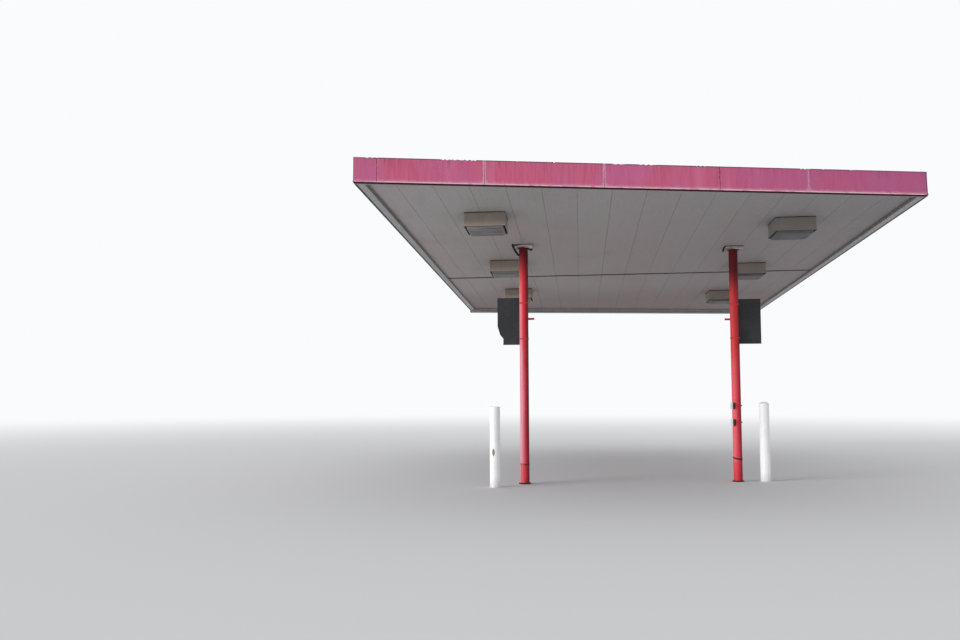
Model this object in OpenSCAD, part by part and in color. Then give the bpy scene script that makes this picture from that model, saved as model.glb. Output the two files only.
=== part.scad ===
// Flat-roofed forecourt canopy: two pipe posts, a boxed roof with skewed front and
// rear edges, pan soffit, surface lights, post plates and two guard bollards.
// Millimetres, +Z up. The origin is the middle of the left post's base, on the ground.
// X runs across the canopy to the right, Y runs towards the building behind it.

/* [Roof plan] */
// Width across the two parallel sides
roof_width = 6980; // [5000:10:9000]
// Length of the left side, front corner to rear edge
left_length = 11690; // [8000:10:14000]
// Angle of the front edge, off square with the sides
front_skew = 12.34; // [0:0.01:25]
// Angle of the rear edge, off square with the sides
rear_skew = 10.4; // [0:0.1:25]
// Left side's distance from the left post
left_overhang = 1741; // [900:1:2600]
// Left front corner's distance in front of the left post
front_overhang = 4157; // [2000:1:5200]

/* [Roof levels] */
// Height of the roof's lower edge above the left post's base
roof_height = 3713; // [3000:1:4600]
// Fall of the roof towards the rear, degrees
rear_fall = 2.68; // [0:0.01:5]
// Rise of the roof towards the right, degrees
cross_rise = 0.39; // [0:0.01:2]
// Depth of the fascia, lower edge to top edge
fascia_depth = 315; // [260:1:450]
// Depth of the I girders inside the roof
girder_depth = 160; // [120:5:220]
// Depth of the hat purlins that lie on the girders
purlin_depth = 40; // [30:1:60]
// Depth of the ribs in the roof deck
deck_depth = 30; // [20:1:50]
// Thickness of the felt covering
covering = 8; // [4:1:20]

/* [Fascia] */
// Thickness of the fascia sheet
fascia_sheet = 3; // [2:0.5:5]
// Height of the folded hem along the fascia's foot
hem_height = 14; // [8:1:30]
// How far the hem stands out from the fascia
hem_out = 6; // [2:1:12]
// Clear height below the fascia's foot, where the edge beam shows
drip_height = 14; // [6:1:30]
// Width of the return folded in along the fascia's top
top_return = 60; // [30:1:120]
// Width of the joints between fascia sheets
fascia_joint = 4; // [2:1:10]
// Length of the fascia sheets along the sides
side_sheet = 1440; // [900:10:2400]

/* [Soffit] */
// Width of one soffit pan
pan_width = 431.8; // [300:0.1:600]
// Seam nearest the left post, measured from it
pan_seam = 3.4; // [-200:0.1:200]
// Height of the soffit pans above the roof's lower edge
pan_recess = 38; // [20:1:80]
// Sheet thickness of the pans and trims
pan_sheet = 3; // [2:0.5:5]
// Height of the upstand along each pan seam
pan_leg = 28; // [15:1:50]
// Width of the open seam between two pans
pan_gap = 3; // [3:0.5:12]
// Width of the flat trim along each side
edge_trim = 122; // [80:1:220]
// Distance of the cross joint behind the left post
joint_y = 2940; // [1500:10:5000]
// Width of the strip that covers the cross joint
joint_width = 30; // [16:1:60]
// How far that strip hangs below the pans
joint_drop = 12; // [6:1:30]
// Width of the gap between the two fields of pans
joint_gap = 6; // [3:1:20]

/* [Steel] */
// Plate thickness of the edge beams
beam_plate = 8; // [5:1:12]
// Flange width of the side beams
side_flange = 80; // [50:1:110]
// Flange width of the front beam
front_flange = 60; // [40:1:100]
// Flange width of the girders
girder_flange = 120; // [90:1:180]
// Width of the rear box beam
rear_box = 150; // [100:1:250]
// How far the rear box beam hangs below the roof's lower edge
rear_drop = 45; // [0:1:120]
// Spacing of the purlins
purlin_pitch = 1460; // [900:10:2000]
// Spacing of the ribs in the deck
rib_pitch = 204; // [150:1:320]

/* [Posts] */
// Outside diameter of the pipe posts
post_d = 141.3; // [110:0.1:220]
// Wall of the pipe posts
post_wall = 6.5; // [4:0.5:12]
// Right post's distance to the right of the left post
post_gap = 3352; // [2600:1:4600]
// Right post's distance behind the left post
post_step = 590; // [0:10:1200]
// Diameter of the round base plates
base_d = 184; // [160:1:240]
// Thickness of the base plates
base_plate = 16; // [10:1:30]
// Side of the square cap plates
cap_side = 180; // [160:5:260]
// Thickness of the cap plates
cap_plate = 12; // [8:1:20]
// Side of the square collar trays under the soffit
collar_side = 300; // [220:5:420]
// Depth of the collar trays
collar_depth = 42; // [30:1:120]
// Clearance between a post and its collar tray
collar_clear = 6; // [2:1:20]

/* [Rear brackets] */
// Side of the square wall plates
bracket_side = 240; // [180:5:320]
// Thickness of the wall plates
bracket_plate = 12; // [8:1:20]
// Spacing of the four bolt holes
bracket_gap = 170; // [120:5:260]
// Diameter of the bolt holes
bracket_hole = 18; // [12:1:26]
// Gap between the rear beam and the wall at the lower edge
bracket_reach = 70; // [50:1:160]

/* [Lights] */
// Side of the square light housings
light_side = 545; // [400:5:700]
// Depth of the light housings
light_depth = 194; // [120:1:260]
// Left column's distance from the left post
light_x = -380; // [-900:1:0]
// Right column's distance from the left column
light_gap = 4252; // [3500:1:5000]
// How far each right light stands behind its left one
light_step = 840; // [0:1:1200]
// Front left light's distance behind the left post
light_row_1 = -2105; // [-3200:1:-1200]
// Middle left light's distance behind the left post
light_row_2 = 1460; // [600:1:2600]
// Rear left light's distance behind the left post
light_row_3 = 4700; // [3800:1:6000]
// Sheet thickness of the housings
light_sheet = 3; // [1.5:0.5:5]
// How far the rolled lip stands out along the rim
light_lip = 4; // [2:0.5:10]
// Diameter of the wiring hole in the top
wiring_hole = 50; // [20:1:90]
// Width of the gap between housing and lens
lens_gap = 22; // [10:1:40]
// How far the lens hangs below the housing
lens_drop = 34; // [10:1:60]

/* [Post plates] */
// Width of the plates held beside the posts
plate_width = 363; // [200:1:500]
// Height of the left plate
left_plate_height = 748; // [400:1:1000]
// Height of the right plate
right_plate_height = 726; // [400:1:1000]
// Height of the left plate's top edge
left_plate_top = 2924; // [2400:1:3200]
// Height of the right plate's top edge
right_plate_top = 2914; // [2400:1:3200]
// Width of the left plate's lower corner that is folded away
plate_fold = 91; // [0:1:160]
// Height of that fold's upper end above the plate's lower edge
fold_high = 297; // [60:1:400]
// Height of that fold's lower end above the plate's lower edge
fold_low = 100; // [0:1:200]
// Height of the arm that crosses behind each post
arm_height = 2588; // [2300:1:2800]
// How far the left arm stands out on the far side of its post
left_arm_stub = 90; // [30:1:200]
// How far the right arm stands out on the far side of its post
right_arm_stub = 70; // [30:1:200]
// Section of the arm
arm_side = 30; // [15:1:60]
// Width of the strap behind each plate
strap_width = 40; // [25:1:80]
// Thickness of the strap
strap = 5; // [3:0.5:10]
// Distance of the two bands from the plate's top and lower edges
band_inset = 92; // [30:1:150]

/* [Outlet boxes] */
// Height of the upper box's middle
upper_box_height = 1200; // [900:5:1600]
// Height of the lower box's middle
lower_box_height = 935; // [500:5:1000]
// Width of a box
box_width = 62; // [40:1:100]
// Height of a box
box_height = 96; // [60:1:150]
// Depth of a box
box_depth = 41; // [30:1:80]
// How far the boxes are turned from the left towards the front, degrees
box_turn = 45; // [0:1:90]
// Diameter of the bolt on the band's far side
box_bolt_d = 20; // [10:1:40]
// Length of that bolt
box_bolt = 12; // [10:1:50]

/* [Bollards] */
// Diameter of the left bollard
left_bollard_d = 158; // [110:1:220]
// Diameter of the right bollard
right_bollard_d = 160; // [110:1:220]
// Height of the left bollard
left_bollard_height = 1212; // [900:1:1400]
// Height of the right bollard
right_bollard_height = 1258; // [900:1:1400]
// Sideways distance of the left bollard from its post
left_bollard_out = 421; // [300:1:700]
// Sideways distance of the right bollard from its post
right_bollard_out = 433; // [300:1:700]
// Left bollard's distance in front of the left post
left_bollard_y = -531; // [-900:1:0]
// Right bollard's distance behind the right post
right_bollard_y = 36; // [-600:1:400]

/* [Hidden] */
$fn = 64;
left_x = -left_overhang;
right_x = left_x + roof_width;
front_left_y = -front_overhang;
rear_left_y = front_left_y + left_length;
rear_far_y = rear_left_y + roof_width * tan(rear_skew);
pan_z = pan_recess;
girder_z = pan_z + pan_leg;
purlin_z = girder_z + girder_depth;
deck_z = purlin_z + purlin_depth;
covering_z = deck_z + deck_depth;
web_in = fascia_sheet + beam_plate;
front_length = roof_width / cos(front_skew);
// Joints of the front fascia, as shares of the front edge
front_joints = [0.0385, 0.217, 0.421, 0.623, 0.782];
seam_first = ceil((left_x + web_in - pan_seam) / pan_width + 0.2);
seam_last = floor((right_x - web_in - pan_seam) / pan_width - 0.2);
seams = [for (i = [seam_first:seam_last]) pan_seam + i * pan_width];
post_hole = cap_side + 30;
light_rows = [light_row_1, light_row_2, light_row_3];
post_r = post_d / 2;
clamp_t = 5;
clamp_h = 24;
bead = 14;
bracket_x = [left_x + 900, right_x - 900];

steel_red = [0.72, 0.07, 0.09];
fascia_pink = [0.76, 0.25, 0.42];
soffit_grey = [0.60, 0.59, 0.59];
trim_grey = [0.70, 0.70, 0.72];
primer = [0.30, 0.16, 0.15];
housing_tan = [0.52, 0.49, 0.43];
lens_grey = [0.62, 0.62, 0.64];
plate_black = [0.05, 0.07, 0.08];
box_white = [0.85, 0.85, 0.83];
bollard_white = [0.94, 0.94, 0.93];
felt_grey = [0.33, 0.32, 0.31];
deck_grey = [0.55, 0.57, 0.58];

// The roof is drawn flat and then tilted as one
module roof() {
    translate([0, 0, roof_height]) rotate([-rear_fall, -cross_rise, 0]) children();
}

// Y of the front edge at x, moved in by an inset measured square to the edge
function front_y(x, inset = 0) =
    front_left_y + (x - left_x) * tan(front_skew) + inset / cos(front_skew);

// Y of the rear edge at x, moved in by an inset measured square to the edge
function rear_y(x, inset = 0) =
    rear_left_y + (x - left_x) * tan(rear_skew) - inset / cos(rear_skew);

// X of a side, moved in by an inset; side is -1 for left and 1 for right
function side_x(side, inset) = side < 0 ? left_x + inset : right_x - inset;

// Slab over the whole plan
module plan(side, front, back, z, h) {
    x0 = left_x + side;
    x1 = right_x - side;
    translate([0, 0, z]) linear_extrude(h)
        polygon([[x0, front_y(x0, front)], [x1, front_y(x1, front)],
                 [x1, rear_y(x1, back)], [x0, rear_y(x0, back)]]);
}

// Strip along the front edge between two insets
module front_run(in0, in1, z, h, side = 0) {
    x0 = left_x + side;
    x1 = right_x - side;
    translate([0, 0, z]) linear_extrude(h)
        polygon([[x0, front_y(x0, in0)], [x1, front_y(x1, in0)],
                 [x1, front_y(x1, in1)], [x0, front_y(x0, in1)]]);
}

// Strip along the rear edge between two insets
module rear_run(in0, in1, z, h, side = 0) {
    x0 = left_x + side;
    x1 = right_x - side;
    translate([0, 0, z]) linear_extrude(h)
        polygon([[x0, rear_y(x0, in0)], [x1, rear_y(x1, in0)],
                 [x1, rear_y(x1, in1)], [x0, rear_y(x0, in1)]]);
}

// Strip along one side between two insets
module side_run(side, in0, in1, z, h, front, back) {
    x0 = side_x(side, in0);
    x1 = side_x(side, in1);
    translate([0, 0, z]) linear_extrude(h)
        polygon([[x0, front_y(x0, front)], [x1, front_y(x1, front)],
                 [x1, rear_y(x1, back)], [x0, rear_y(x0, back)]]);
}

// Everything above a level of the tilted roof
module above_roof(z) {
    roof() translate([left_x - 500, front_left_y - 500, z])
        cube([roof_width + 1000, rear_far_y - front_left_y + 1000, 1200]);
}

module post() {
    difference() {
        union() {
            cylinder(d = base_d, h = base_plate);
            cylinder(d = post_d, h = roof_height + 200);
        }
        translate([0, 0, base_plate]) cylinder(d = post_d - 2 * post_wall, h = roof_height + 200);
    }
}

// Post cut to the roof's slope, with its cap plate under the girder
module place_post(x, y) {
    difference() {
        translate([x, y, 0]) post();
        above_roof(girder_z - cap_plate / 2);
    }
    roof() translate([x - cap_side / 2, y - cap_side / 2, girder_z - cap_plate])
        cube([cap_side, cap_side, cap_plate]);
}

module left_post() color(steel_red) place_post(0, 0);
module right_post() color(steel_red) place_post(post_gap, post_step);

// Shallow tray that hides the opening around a post
module collar(x, y) {
    roof() translate([x, y, pan_z - collar_depth]) difference() {
        translate([-collar_side / 2, -collar_side / 2, 0])
            cube([collar_side, collar_side, collar_depth]);
        translate([-collar_side / 2 + pan_sheet, -collar_side / 2 + pan_sheet, pan_sheet])
            cube([collar_side - 2 * pan_sheet, collar_side - 2 * pan_sheet, collar_depth]);
        translate([0, 0, -1]) cylinder(d = post_d + 2 * collar_clear, h = pan_sheet + 2);
    }
}

module left_collar() color(soffit_grey) collar(0, 0);
module right_collar() color(soffit_grey) collar(post_gap, post_step);

// Cross section drawn over the whole depth of the plan, between two distances
module lengthwise(z, y0 = front_left_y, y1 = rear_far_y)
    translate([0, y1, z]) rotate([90, 0, 0]) linear_extrude(y1 - y0) children();

// I section girder from the front beam to the rear beam
module girder(x) {
    web = 8;
    flange = 10;
    roof() intersection() {
        lengthwise(girder_z) translate([x, 0]) union() {
            translate([-girder_flange / 2, 0]) square([girder_flange, flange]);
            translate([-web / 2, 0]) square([web, girder_depth]);
            translate([-girder_flange / 2, girder_depth - flange]) square([girder_flange, flange]);
        }
        plan(web_in, web_in, rear_box, girder_z - 1, girder_depth + 2);
    }
}

module left_girder() color(primer) girder(0);
module right_girder() color(primer) girder(post_gap);

// Channel along one side, web outwards
module side_beam(side) {
    foot = pan_sheet;
    roof() union() {
        side_run(side, fascia_sheet, web_in, foot, purlin_z - foot, web_in, 0);
        side_run(side, web_in, side_flange, foot, beam_plate, front_flange, rear_box);
        side_run(side, web_in, side_flange, purlin_z - beam_plate, beam_plate, web_in, rear_box);
    }
}

module left_side_beam() color(primer) side_beam(-1);
module right_side_beam() color(primer) side_beam(1);

// Angle along the skewed front, its lower flange showing below the fascia
module front_beam() color(primer) roof() union() {
    front_run(fascia_sheet, web_in, 0, purlin_z, fascia_sheet);
    front_run(fascia_sheet, front_flange, 0, beam_plate, web_in);
}

// Box beam that carries the rear edge, with an upstand behind the covering
module rear_beam() color(primer) roof() {
    h = deck_z + rear_drop;
    union() {
        difference() {
            rear_run(0, rear_box, -rear_drop, h, web_in);
            rear_run(beam_plate, rear_box - beam_plate, beam_plate - rear_drop, h - 2 * beam_plate);
        }
        rear_run(0, beam_plate, deck_z, fascia_depth - deck_z, web_in);
    }
}

// Upright wall plate on two webs welded to the rear beam
module rear_bracket(x) {
    edge_y = rear_y(x);
    mid_z = roof_height - edge_y * sin(rear_fall) + x * sin(cross_rise) + (deck_z - rear_drop) / 2;
    web = 10;
    web_x = 45;
    web_length = 245;
    web_inset = 20;
    difference() {
        translate([x, edge_y * cos(rear_fall), mid_z]) rotate([0, 0, rear_skew])
            translate([0, bracket_reach, 0]) difference() {
                union() {
                    translate([-bracket_side / 2, -bracket_plate, -bracket_side / 2])
                        cube([bracket_side, bracket_plate, bracket_side]);
                    for (s = [-1, 1])
                        translate([s * web_x - web / 2, -web_length - web / 2,
                                   web_inset - bracket_side / 2])
                            cube([web, web_length, bracket_side - 2 * web_inset]);
                }
                for (a = [-1, 1], b = [-1, 1])
                    translate([a * bracket_gap / 2, 1, b * bracket_gap / 2])
                        rotate([90, 0, 0]) cylinder(d = bracket_hole, h = bracket_plate + 2);
            }
        roof() plan(0, 0, 0, -500, 1200);
    }
}

module left_rear_bracket() color(primer) rear_bracket(bracket_x[0]);
module right_rear_bracket() color(primer) rear_bracket(bracket_x[1]);

// Hat section, foot down
module hat_profile() {
    t = 3;
    d = purlin_depth;
    foot = 55;
    head = 25;
    polygon([[-foot, 0], [t - head, 0], [t - head, d - t], [head - t, d - t],
             [head - t, 0], [foot, 0], [foot, t], [head, t],
             [head, d], [-head, d], [-head, t], [-foot, t]]);
}

// Purlins across the roof, tied by two strips and an upright front edge
module purlins() color(primer) roof() intersection() {
    tie = 60;
    union() {
        for (y = [rear_y(right_x - 600, rear_box) - 80:-purlin_pitch:front_left_y])
            translate([left_x, y, purlin_z]) rotate([90, 0, 90])
                linear_extrude(roof_width) hat_profile();
        for (x = [left_x + 1500, right_x - 600])
            translate([x - tie / 2, front_left_y, purlin_z])
                cube([tie, rear_far_y - front_left_y, 3]);
        front_run(fascia_sheet, web_in, purlin_z, purlin_depth);
    }
    plan(fascia_sheet, fascia_sheet, rear_box, purlin_z - 1, purlin_depth + 2);
}

// Ribbed deck sheet
module roof_deck() color(deck_grey) roof() {
    t = 2;
    valley = 60;
    slope = 15;
    n = ceil(roof_width / rib_pitch);
    top = [for (i = [0:n]) let(x = i * rib_pitch)
           each [[x, t], [x + valley, t], [x + valley + slope, deck_depth],
                 [x + rib_pitch - slope, deck_depth]]];
    low = [for (i = [n:-1:0]) let(x = i * rib_pitch)
           each [[x + rib_pitch - slope, deck_depth - t],
                 [x + valley + slope + t, deck_depth - t], [x + valley + t, 0], [x, 0]]];
    intersection() {
        lengthwise(deck_z) translate([left_x, 0]) polygon(concat(top, low));
        plan(fascia_sheet, fascia_sheet, beam_plate, deck_z - 1, deck_depth + 2);
    }
}

module roof_covering() color(felt_grey) roof()
    plan(fascia_sheet, fascia_sheet, beam_plate, covering_z, covering);

// Front fascia: sheet, hem, top return and the joints between its sheets
module front_fascia() color(fascia_pink) roof() difference() {
    union() {
        front_run(0, fascia_sheet, drip_height, fascia_depth - drip_height);
        front_run(-hem_out, 0, drip_height, hem_height);
        front_run(fascia_sheet, top_return, fascia_depth - fascia_sheet, fascia_sheet);
    }
    for (j = front_joints)
        translate([left_x, front_left_y, 0]) rotate([0, 0, front_skew])
            translate([j * front_length, -hem_out - 1, drip_height - 1])
                cube([fascia_joint, hem_out + 1 + fascia_sheet / 2, fascia_depth]);
}

// Side fascia, behind the front one at the corner
module side_fascia(side) {
    edge = side < 0 ? left_x - hem_out - 1 : right_x - fascia_sheet / 2;
    roof() difference() {
        union() {
            side_run(side, 0, fascia_sheet, drip_height, fascia_depth - drip_height, fascia_sheet, 0);
            side_run(side, -hem_out, 0, drip_height, hem_height, -hem_out, 0);
            side_run(side, fascia_sheet, top_return, fascia_depth - fascia_sheet, fascia_sheet,
                     top_return, beam_plate);
        }
        for (y = [rear_y(side_x(side, 0)) - side_sheet:-side_sheet:front_y(side_x(side, 0)) + 200])
            translate([edge, y, drip_height - 1])
                cube([hem_out + 1 + fascia_sheet / 2, fascia_joint, fascia_depth]);
    }
}

module left_fascia() color(fascia_pink) side_fascia(-1);
module right_fascia() color(fascia_pink) side_fascia(1);

// Cross section of a field of pans: flat sheet, upstands and open seams
module pan_profile() {
    leg = 4.5;
    cap = 7;
    difference() {
        union() {
            translate([left_x, 0]) square([roof_width, pan_sheet]);
            for (x = seams) translate([x - pan_gap / 2 - leg, 0]) square([pan_gap + 2 * leg, pan_leg]);
        }
        for (x = seams) translate([x - pan_gap / 2, -1]) square([pan_gap, pan_leg - cap + 1]);
    }
}

// A field of pans between two distances from the left post
module pans(y0, y1) {
    roof() difference() {
        intersection() {
            lengthwise(pan_z, y0, y1) pan_profile();
            plan(web_in, web_in, rear_box, pan_z - 1, pan_leg + 2);
        }
        for (p = [[0, 0], [post_gap, post_step]])
            translate([p[0] - post_hole / 2, p[1] - post_hole / 2, pan_z - 1])
                cube([post_hole, post_hole, pan_leg + 2]);
    }
}

module front_soffit() color(soffit_grey) pans(front_left_y, joint_y - joint_gap / 2);
module rear_soffit() color(soffit_grey) pans(joint_y + joint_gap / 2, rear_far_y);

// Strip that closes the cross joint from below
module soffit_joint() color(primer) roof() union() {
    translate([left_x + edge_trim, joint_y - joint_width / 2, pan_z - joint_drop])
        cube([roof_width - 2 * edge_trim, joint_width, joint_drop]);
    translate([left_x + edge_trim, joint_y - joint_gap / 2, pan_z])
        cube([roof_width - 2 * edge_trim, joint_gap, joint_drop]);
}

// Flat trim under a side beam, turned up to the pans along its inner edge
module side_trim(side) {
    roof() difference() {
        side_run(side, fascia_sheet, edge_trim, 0, pan_z, front_flange, rear_box + pan_sheet);
        side_run(side, 0, edge_trim - pan_sheet, pan_sheet, pan_z, 0, 0);
    }
}

module left_edge_trim() color(trim_grey) side_trim(-1);
module right_edge_trim() color(trim_grey) side_trim(1);

// Moulded trim on the front of the rear beam
module rear_trim() color(trim_grey) roof() {
    front = rear_box + pan_sheet;
    foot = -rear_drop - pan_sheet;
    union() {
        rear_run(rear_box, front, foot, pan_z - foot, web_in);
        rear_run(0, rear_box, foot, pan_sheet, web_in);
        rear_bead(front, pan_z - bead / 2, edge_trim + 2);
        rear_bead(front, bead / 2 - rear_drop, web_in);
    }
}

// Round bead along the front of the rear trim, its ends cut in line with the sides
module rear_bead(inset, z, side) intersection() {
    translate([left_x, rear_y(left_x, inset + bead / 2 - 2), z]) rotate([0, 0, rear_skew])
        translate([-100, 0, 0]) rotate([0, 90, 0])
            cylinder(d = bead, h = roof_width / cos(rear_skew) + 200);
    plan(side, 0, 0, z - bead, 2 * bead);
}

// Box housing, open below, with a rolled lip along its rim and a wiring hole above
module housing(x, y) {
    s = light_side;
    t = light_sheet;
    rim = s + 2 * light_lip;
    roof() translate([x, y, pan_z - light_depth]) difference() {
        union() {
            translate([-s / 2, -s / 2, 0]) cube([s, s, light_depth]);
            translate([-rim / 2, -rim / 2, 0]) cube([rim, rim, 2 * light_lip]);
        }
        translate([-s / 2 + t, -s / 2 + t, -1]) cube([s - 2 * t, s - 2 * t, light_depth - t + 1]);
        translate([0, 0, light_depth - t - 1]) cylinder(d = wiring_hole, h = t + 2);
    }
}

// Drop lens: a ribbed dish hung inside the housing from four corner posts
module lens(x, y) {
    s = light_side - 2 * light_sheet - 2 * lens_gap;
    h = 90;
    t = 5;
    groove = 12;
    groove_depth = 2;
    leg = 12;
    leg_lap = 40;
    leg_at = s / 2 - t - leg / 2 + 1;
    roof() translate([x, y, pan_z - light_depth - lens_drop]) union() {
        difference() {
            translate([-s / 2, -s / 2, 0]) cube([s, s, h]);
            translate([-s / 2 + t, -s / 2 + t, t]) cube([s - 2 * t, s - 2 * t, h]);
            for (i = [-4:4])
                translate([-s / 2 - 1, i * s / 10 - groove / 2, -1])
                    cube([s + 2, groove, groove_depth + 1]);
        }
        for (a = [-1, 1], b = [-1, 1])
            translate([a * leg_at - leg / 2, b * leg_at - leg / 2, h - leg_lap])
                cube([leg, leg, light_depth + lens_drop - light_sheet - h + leg_lap]);
    }
}

module front_left_light() color(housing_tan) place_housing(0, 0);
module front_right_light() color(housing_tan) place_housing(1, 0);
module middle_left_light() color(housing_tan) place_housing(0, 1);
module middle_right_light() color(housing_tan) place_housing(1, 1);
module rear_left_light() color(housing_tan) place_housing(0, 2);
module rear_right_light() color(housing_tan) place_housing(1, 2);
module front_left_lens() color(lens_grey) place_lens(0, 0);
module front_right_lens() color(lens_grey) place_lens(1, 0);
module middle_left_lens() color(lens_grey) place_lens(0, 1);
module middle_right_lens() color(lens_grey) place_lens(1, 1);
module rear_left_lens() color(lens_grey) place_lens(0, 2);
module rear_right_lens() color(lens_grey) place_lens(1, 2);

module place_housing(column, row)
    housing(light_x + column * light_gap, light_rows[row] + column * light_step);
module place_lens(column, row)
    lens(light_x + column * light_gap, light_rows[row] + column * light_step);

// Flat plate beside a post; fold takes away its lower outer corner
module side_plate(x, y, side, top, height, fold) {
    near = post_r - 8;
    far = near + plate_width;
    low = top - height;
    translate([x, y + post_r, 0]) rotate([90, 0, 0]) linear_extrude(3)
        polygon([[side * near, low], [side * (far - fold), low], [side * (far - fold), low + fold_low],
                 [side * far, low + fold_high], [side * far, top], [side * near, top]]);
}

module left_plate() color(plate_black)
    side_plate(0, 0, -1, left_plate_top, left_plate_height, plate_fold);
module right_plate() color(plate_black)
    side_plate(post_gap, post_step, 1, right_plate_top, right_plate_height, 0);

// Band clamped round a post
module band(z) {
    translate([0, 0, z - clamp_h / 2]) difference() {
        cylinder(r = post_r + clamp_t, h = clamp_h);
        translate([0, 0, -1]) cylinder(r = post_r, h = clamp_h + 2);
    }
}

// Arm behind the post, an upright strap behind the plate and two bands
module plate_arm(x, y, side, top, height, stub) {
    strap_in = post_r + 4;
    strap_out = strap_in + strap_width;
    low = top - height + band_inset;
    high = top - band_inset;
    reach = post_r + plate_width - strap_width;
    x0 = min(side * reach, -side * (post_r + stub));
    length = reach + post_r + stub;
    translate([x, y, 0]) union() {
        translate([x0, post_r, arm_height - arm_side / 2]) cube([length, arm_side, arm_side]);
        translate([min(side * strap_in, side * strap_out), post_r, low - band_inset / 2])
            cube([strap_width, strap, high - low + band_inset]);
        for (z = [low, high]) {
            band(z);
            translate([min(0, side * strap_out), post_r, z - clamp_h / 2])
                cube([strap_out, strap, clamp_h]);
        }
    }
}

module left_plate_arm() color(steel_red)
    plate_arm(0, 0, -1, left_plate_top, left_plate_height, left_arm_stub);
module right_plate_arm() color(steel_red)
    plate_arm(post_gap, post_step, 1, right_plate_top, right_plate_height, right_arm_stub);

// Outlet box on the left front of the right post, with its band and bolt
module outlet_box(z) {
    translate([post_gap, post_step, 0]) union() {
        band(z);
        rotate([0, 0, box_turn])
            translate([2 - post_r - clamp_t - box_depth, -box_width / 2, z - box_height / 2])
                cube([box_depth, box_width, box_height]);
        translate([post_r + clamp_t / 2, 0, z]) rotate([0, 90, 0])
            cylinder(d = box_bolt_d, h = box_bolt);
    }
}

module upper_outlet_box() color(box_white) outlet_box(upper_box_height);
module lower_outlet_box() color(box_white) outlet_box(lower_box_height);

// Filled pipe with an eased edge below a gently domed top
module bollard(d, height, rise) {
    r = d / 2;
    ease = 3;
    rotate_extrude() polygon([[0, 0], [r, 0], [r, height - rise - 2 * ease],
                              [r - ease, height - rise], [r * 0.5, height - rise * 0.3],
                              [0, height]]);
}

module left_bollard() color(bollard_white)
    translate([-left_bollard_out, left_bollard_y, 0])
        bollard(left_bollard_d, left_bollard_height, 4);
module right_bollard() color(bollard_white)
    translate([post_gap + right_bollard_out, post_step + right_bollard_y, 0])
        bollard(right_bollard_d, right_bollard_height, 24);

left_post();
right_post();
left_collar();
right_collar();
left_girder();
right_girder();
left_side_beam();
right_side_beam();
front_beam();
rear_beam();
left_rear_bracket();
right_rear_bracket();
purlins();
roof_deck();
roof_covering();
front_fascia();
left_fascia();
right_fascia();
front_soffit();
rear_soffit();
soffit_joint();
left_edge_trim();
right_edge_trim();
rear_trim();
front_left_light();
front_right_light();
middle_left_light();
middle_right_light();
rear_left_light();
rear_right_light();
front_left_lens();
front_right_lens();
middle_left_lens();
middle_right_lens();
rear_left_lens();
rear_right_lens();
left_plate();
right_plate();
left_plate_arm();
right_plate_arm();
upper_outlet_box();
lower_outlet_box();
left_bollard();
right_bollard();
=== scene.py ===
# %% [markdown]
# This lesson dresses a filling station canopy: a flat boxed roof on two pipe posts.
# Everything below gives those solids a finish, stands a finer surface in the place of
# one of them, or adds a small piece to one.

# %% Load the frame
import math
import bpy
import numpy as np
from mathutils import Matrix, Vector


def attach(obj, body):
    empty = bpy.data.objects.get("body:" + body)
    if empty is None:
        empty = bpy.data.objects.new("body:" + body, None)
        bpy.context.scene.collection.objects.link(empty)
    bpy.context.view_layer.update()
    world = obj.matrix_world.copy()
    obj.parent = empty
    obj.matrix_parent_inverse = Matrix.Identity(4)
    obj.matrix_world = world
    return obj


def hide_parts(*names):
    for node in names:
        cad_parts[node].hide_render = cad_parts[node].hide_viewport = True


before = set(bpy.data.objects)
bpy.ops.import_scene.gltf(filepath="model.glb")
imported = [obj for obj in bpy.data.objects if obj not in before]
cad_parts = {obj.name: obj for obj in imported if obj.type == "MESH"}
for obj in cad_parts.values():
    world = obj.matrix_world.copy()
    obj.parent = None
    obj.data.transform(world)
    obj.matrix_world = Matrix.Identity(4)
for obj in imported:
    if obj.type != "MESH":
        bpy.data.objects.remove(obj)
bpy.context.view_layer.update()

# %% [markdown]
# The roof is a flat box that leans: it falls to the rear and rises a little to the right.
# The sizes of its edges are repeated here, because new pieces are worked out on the
# level roof first and then leaned with it. That keeps each formula short. The joints of
# the front fascia are shares of its length.

# %% Sizes of the roof
ROOF_Z = 3.713
FALL = math.radians(2.68)
RISE = math.radians(0.39)
LEFT_X, RIGHT_X = -1.741, 5.239
FRONT_Y, REAR_Y = -4.157, 7.533
SKEW, REAR_SKEW = math.tan(math.radians(12.34)), math.tan(math.radians(10.4))
PAN_Z = 0.038
PAN_W, PAN_SEAM = 0.4318, 0.0034
FASCIA = 0.315
FRONT_JOINTS = LEFT_X + np.array([0.0385, 0.217, 0.421, 0.623, 0.782]) * (RIGHT_X - LEFT_X)
POST_GAP, POST_STEP, POST_R = 3.352, 0.590, 0.07065
POSTS = {"left": (0.0, 0.0), "right": (POST_GAP, POST_STEP)}


def front_y(x, inset=0.0):
    """Front edge: y = front + (x - left) * tan(skew) + inset / cos(skew)."""
    return FRONT_Y + (x - LEFT_X) * SKEW + inset * math.hypot(1, SKEW)


def rear_y(x, inset=0.0):
    """Rear edge: y = rear + (x - left) * tan(rear skew) - inset / cos(rear skew)."""
    return REAR_Y + (x - LEFT_X) * REAR_SKEW - inset * math.hypot(1, REAR_SKEW)


def on_roof(x, y, z):
    """Leans a level point: a turn about X by -fall, one about Y by -rise, then the lift."""
    x, y, z = np.broadcast_arrays(x, y, z)
    y1 = y * math.cos(FALL) + z * math.sin(FALL)
    z1 = z * math.cos(FALL) - y * math.sin(FALL)
    x2 = x * math.cos(RISE) - z1 * math.sin(RISE)
    z2 = x * math.sin(RISE) + z1 * math.cos(RISE)
    return np.stack([x2, y1, z2 + ROOF_Z], axis=-1)


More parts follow.
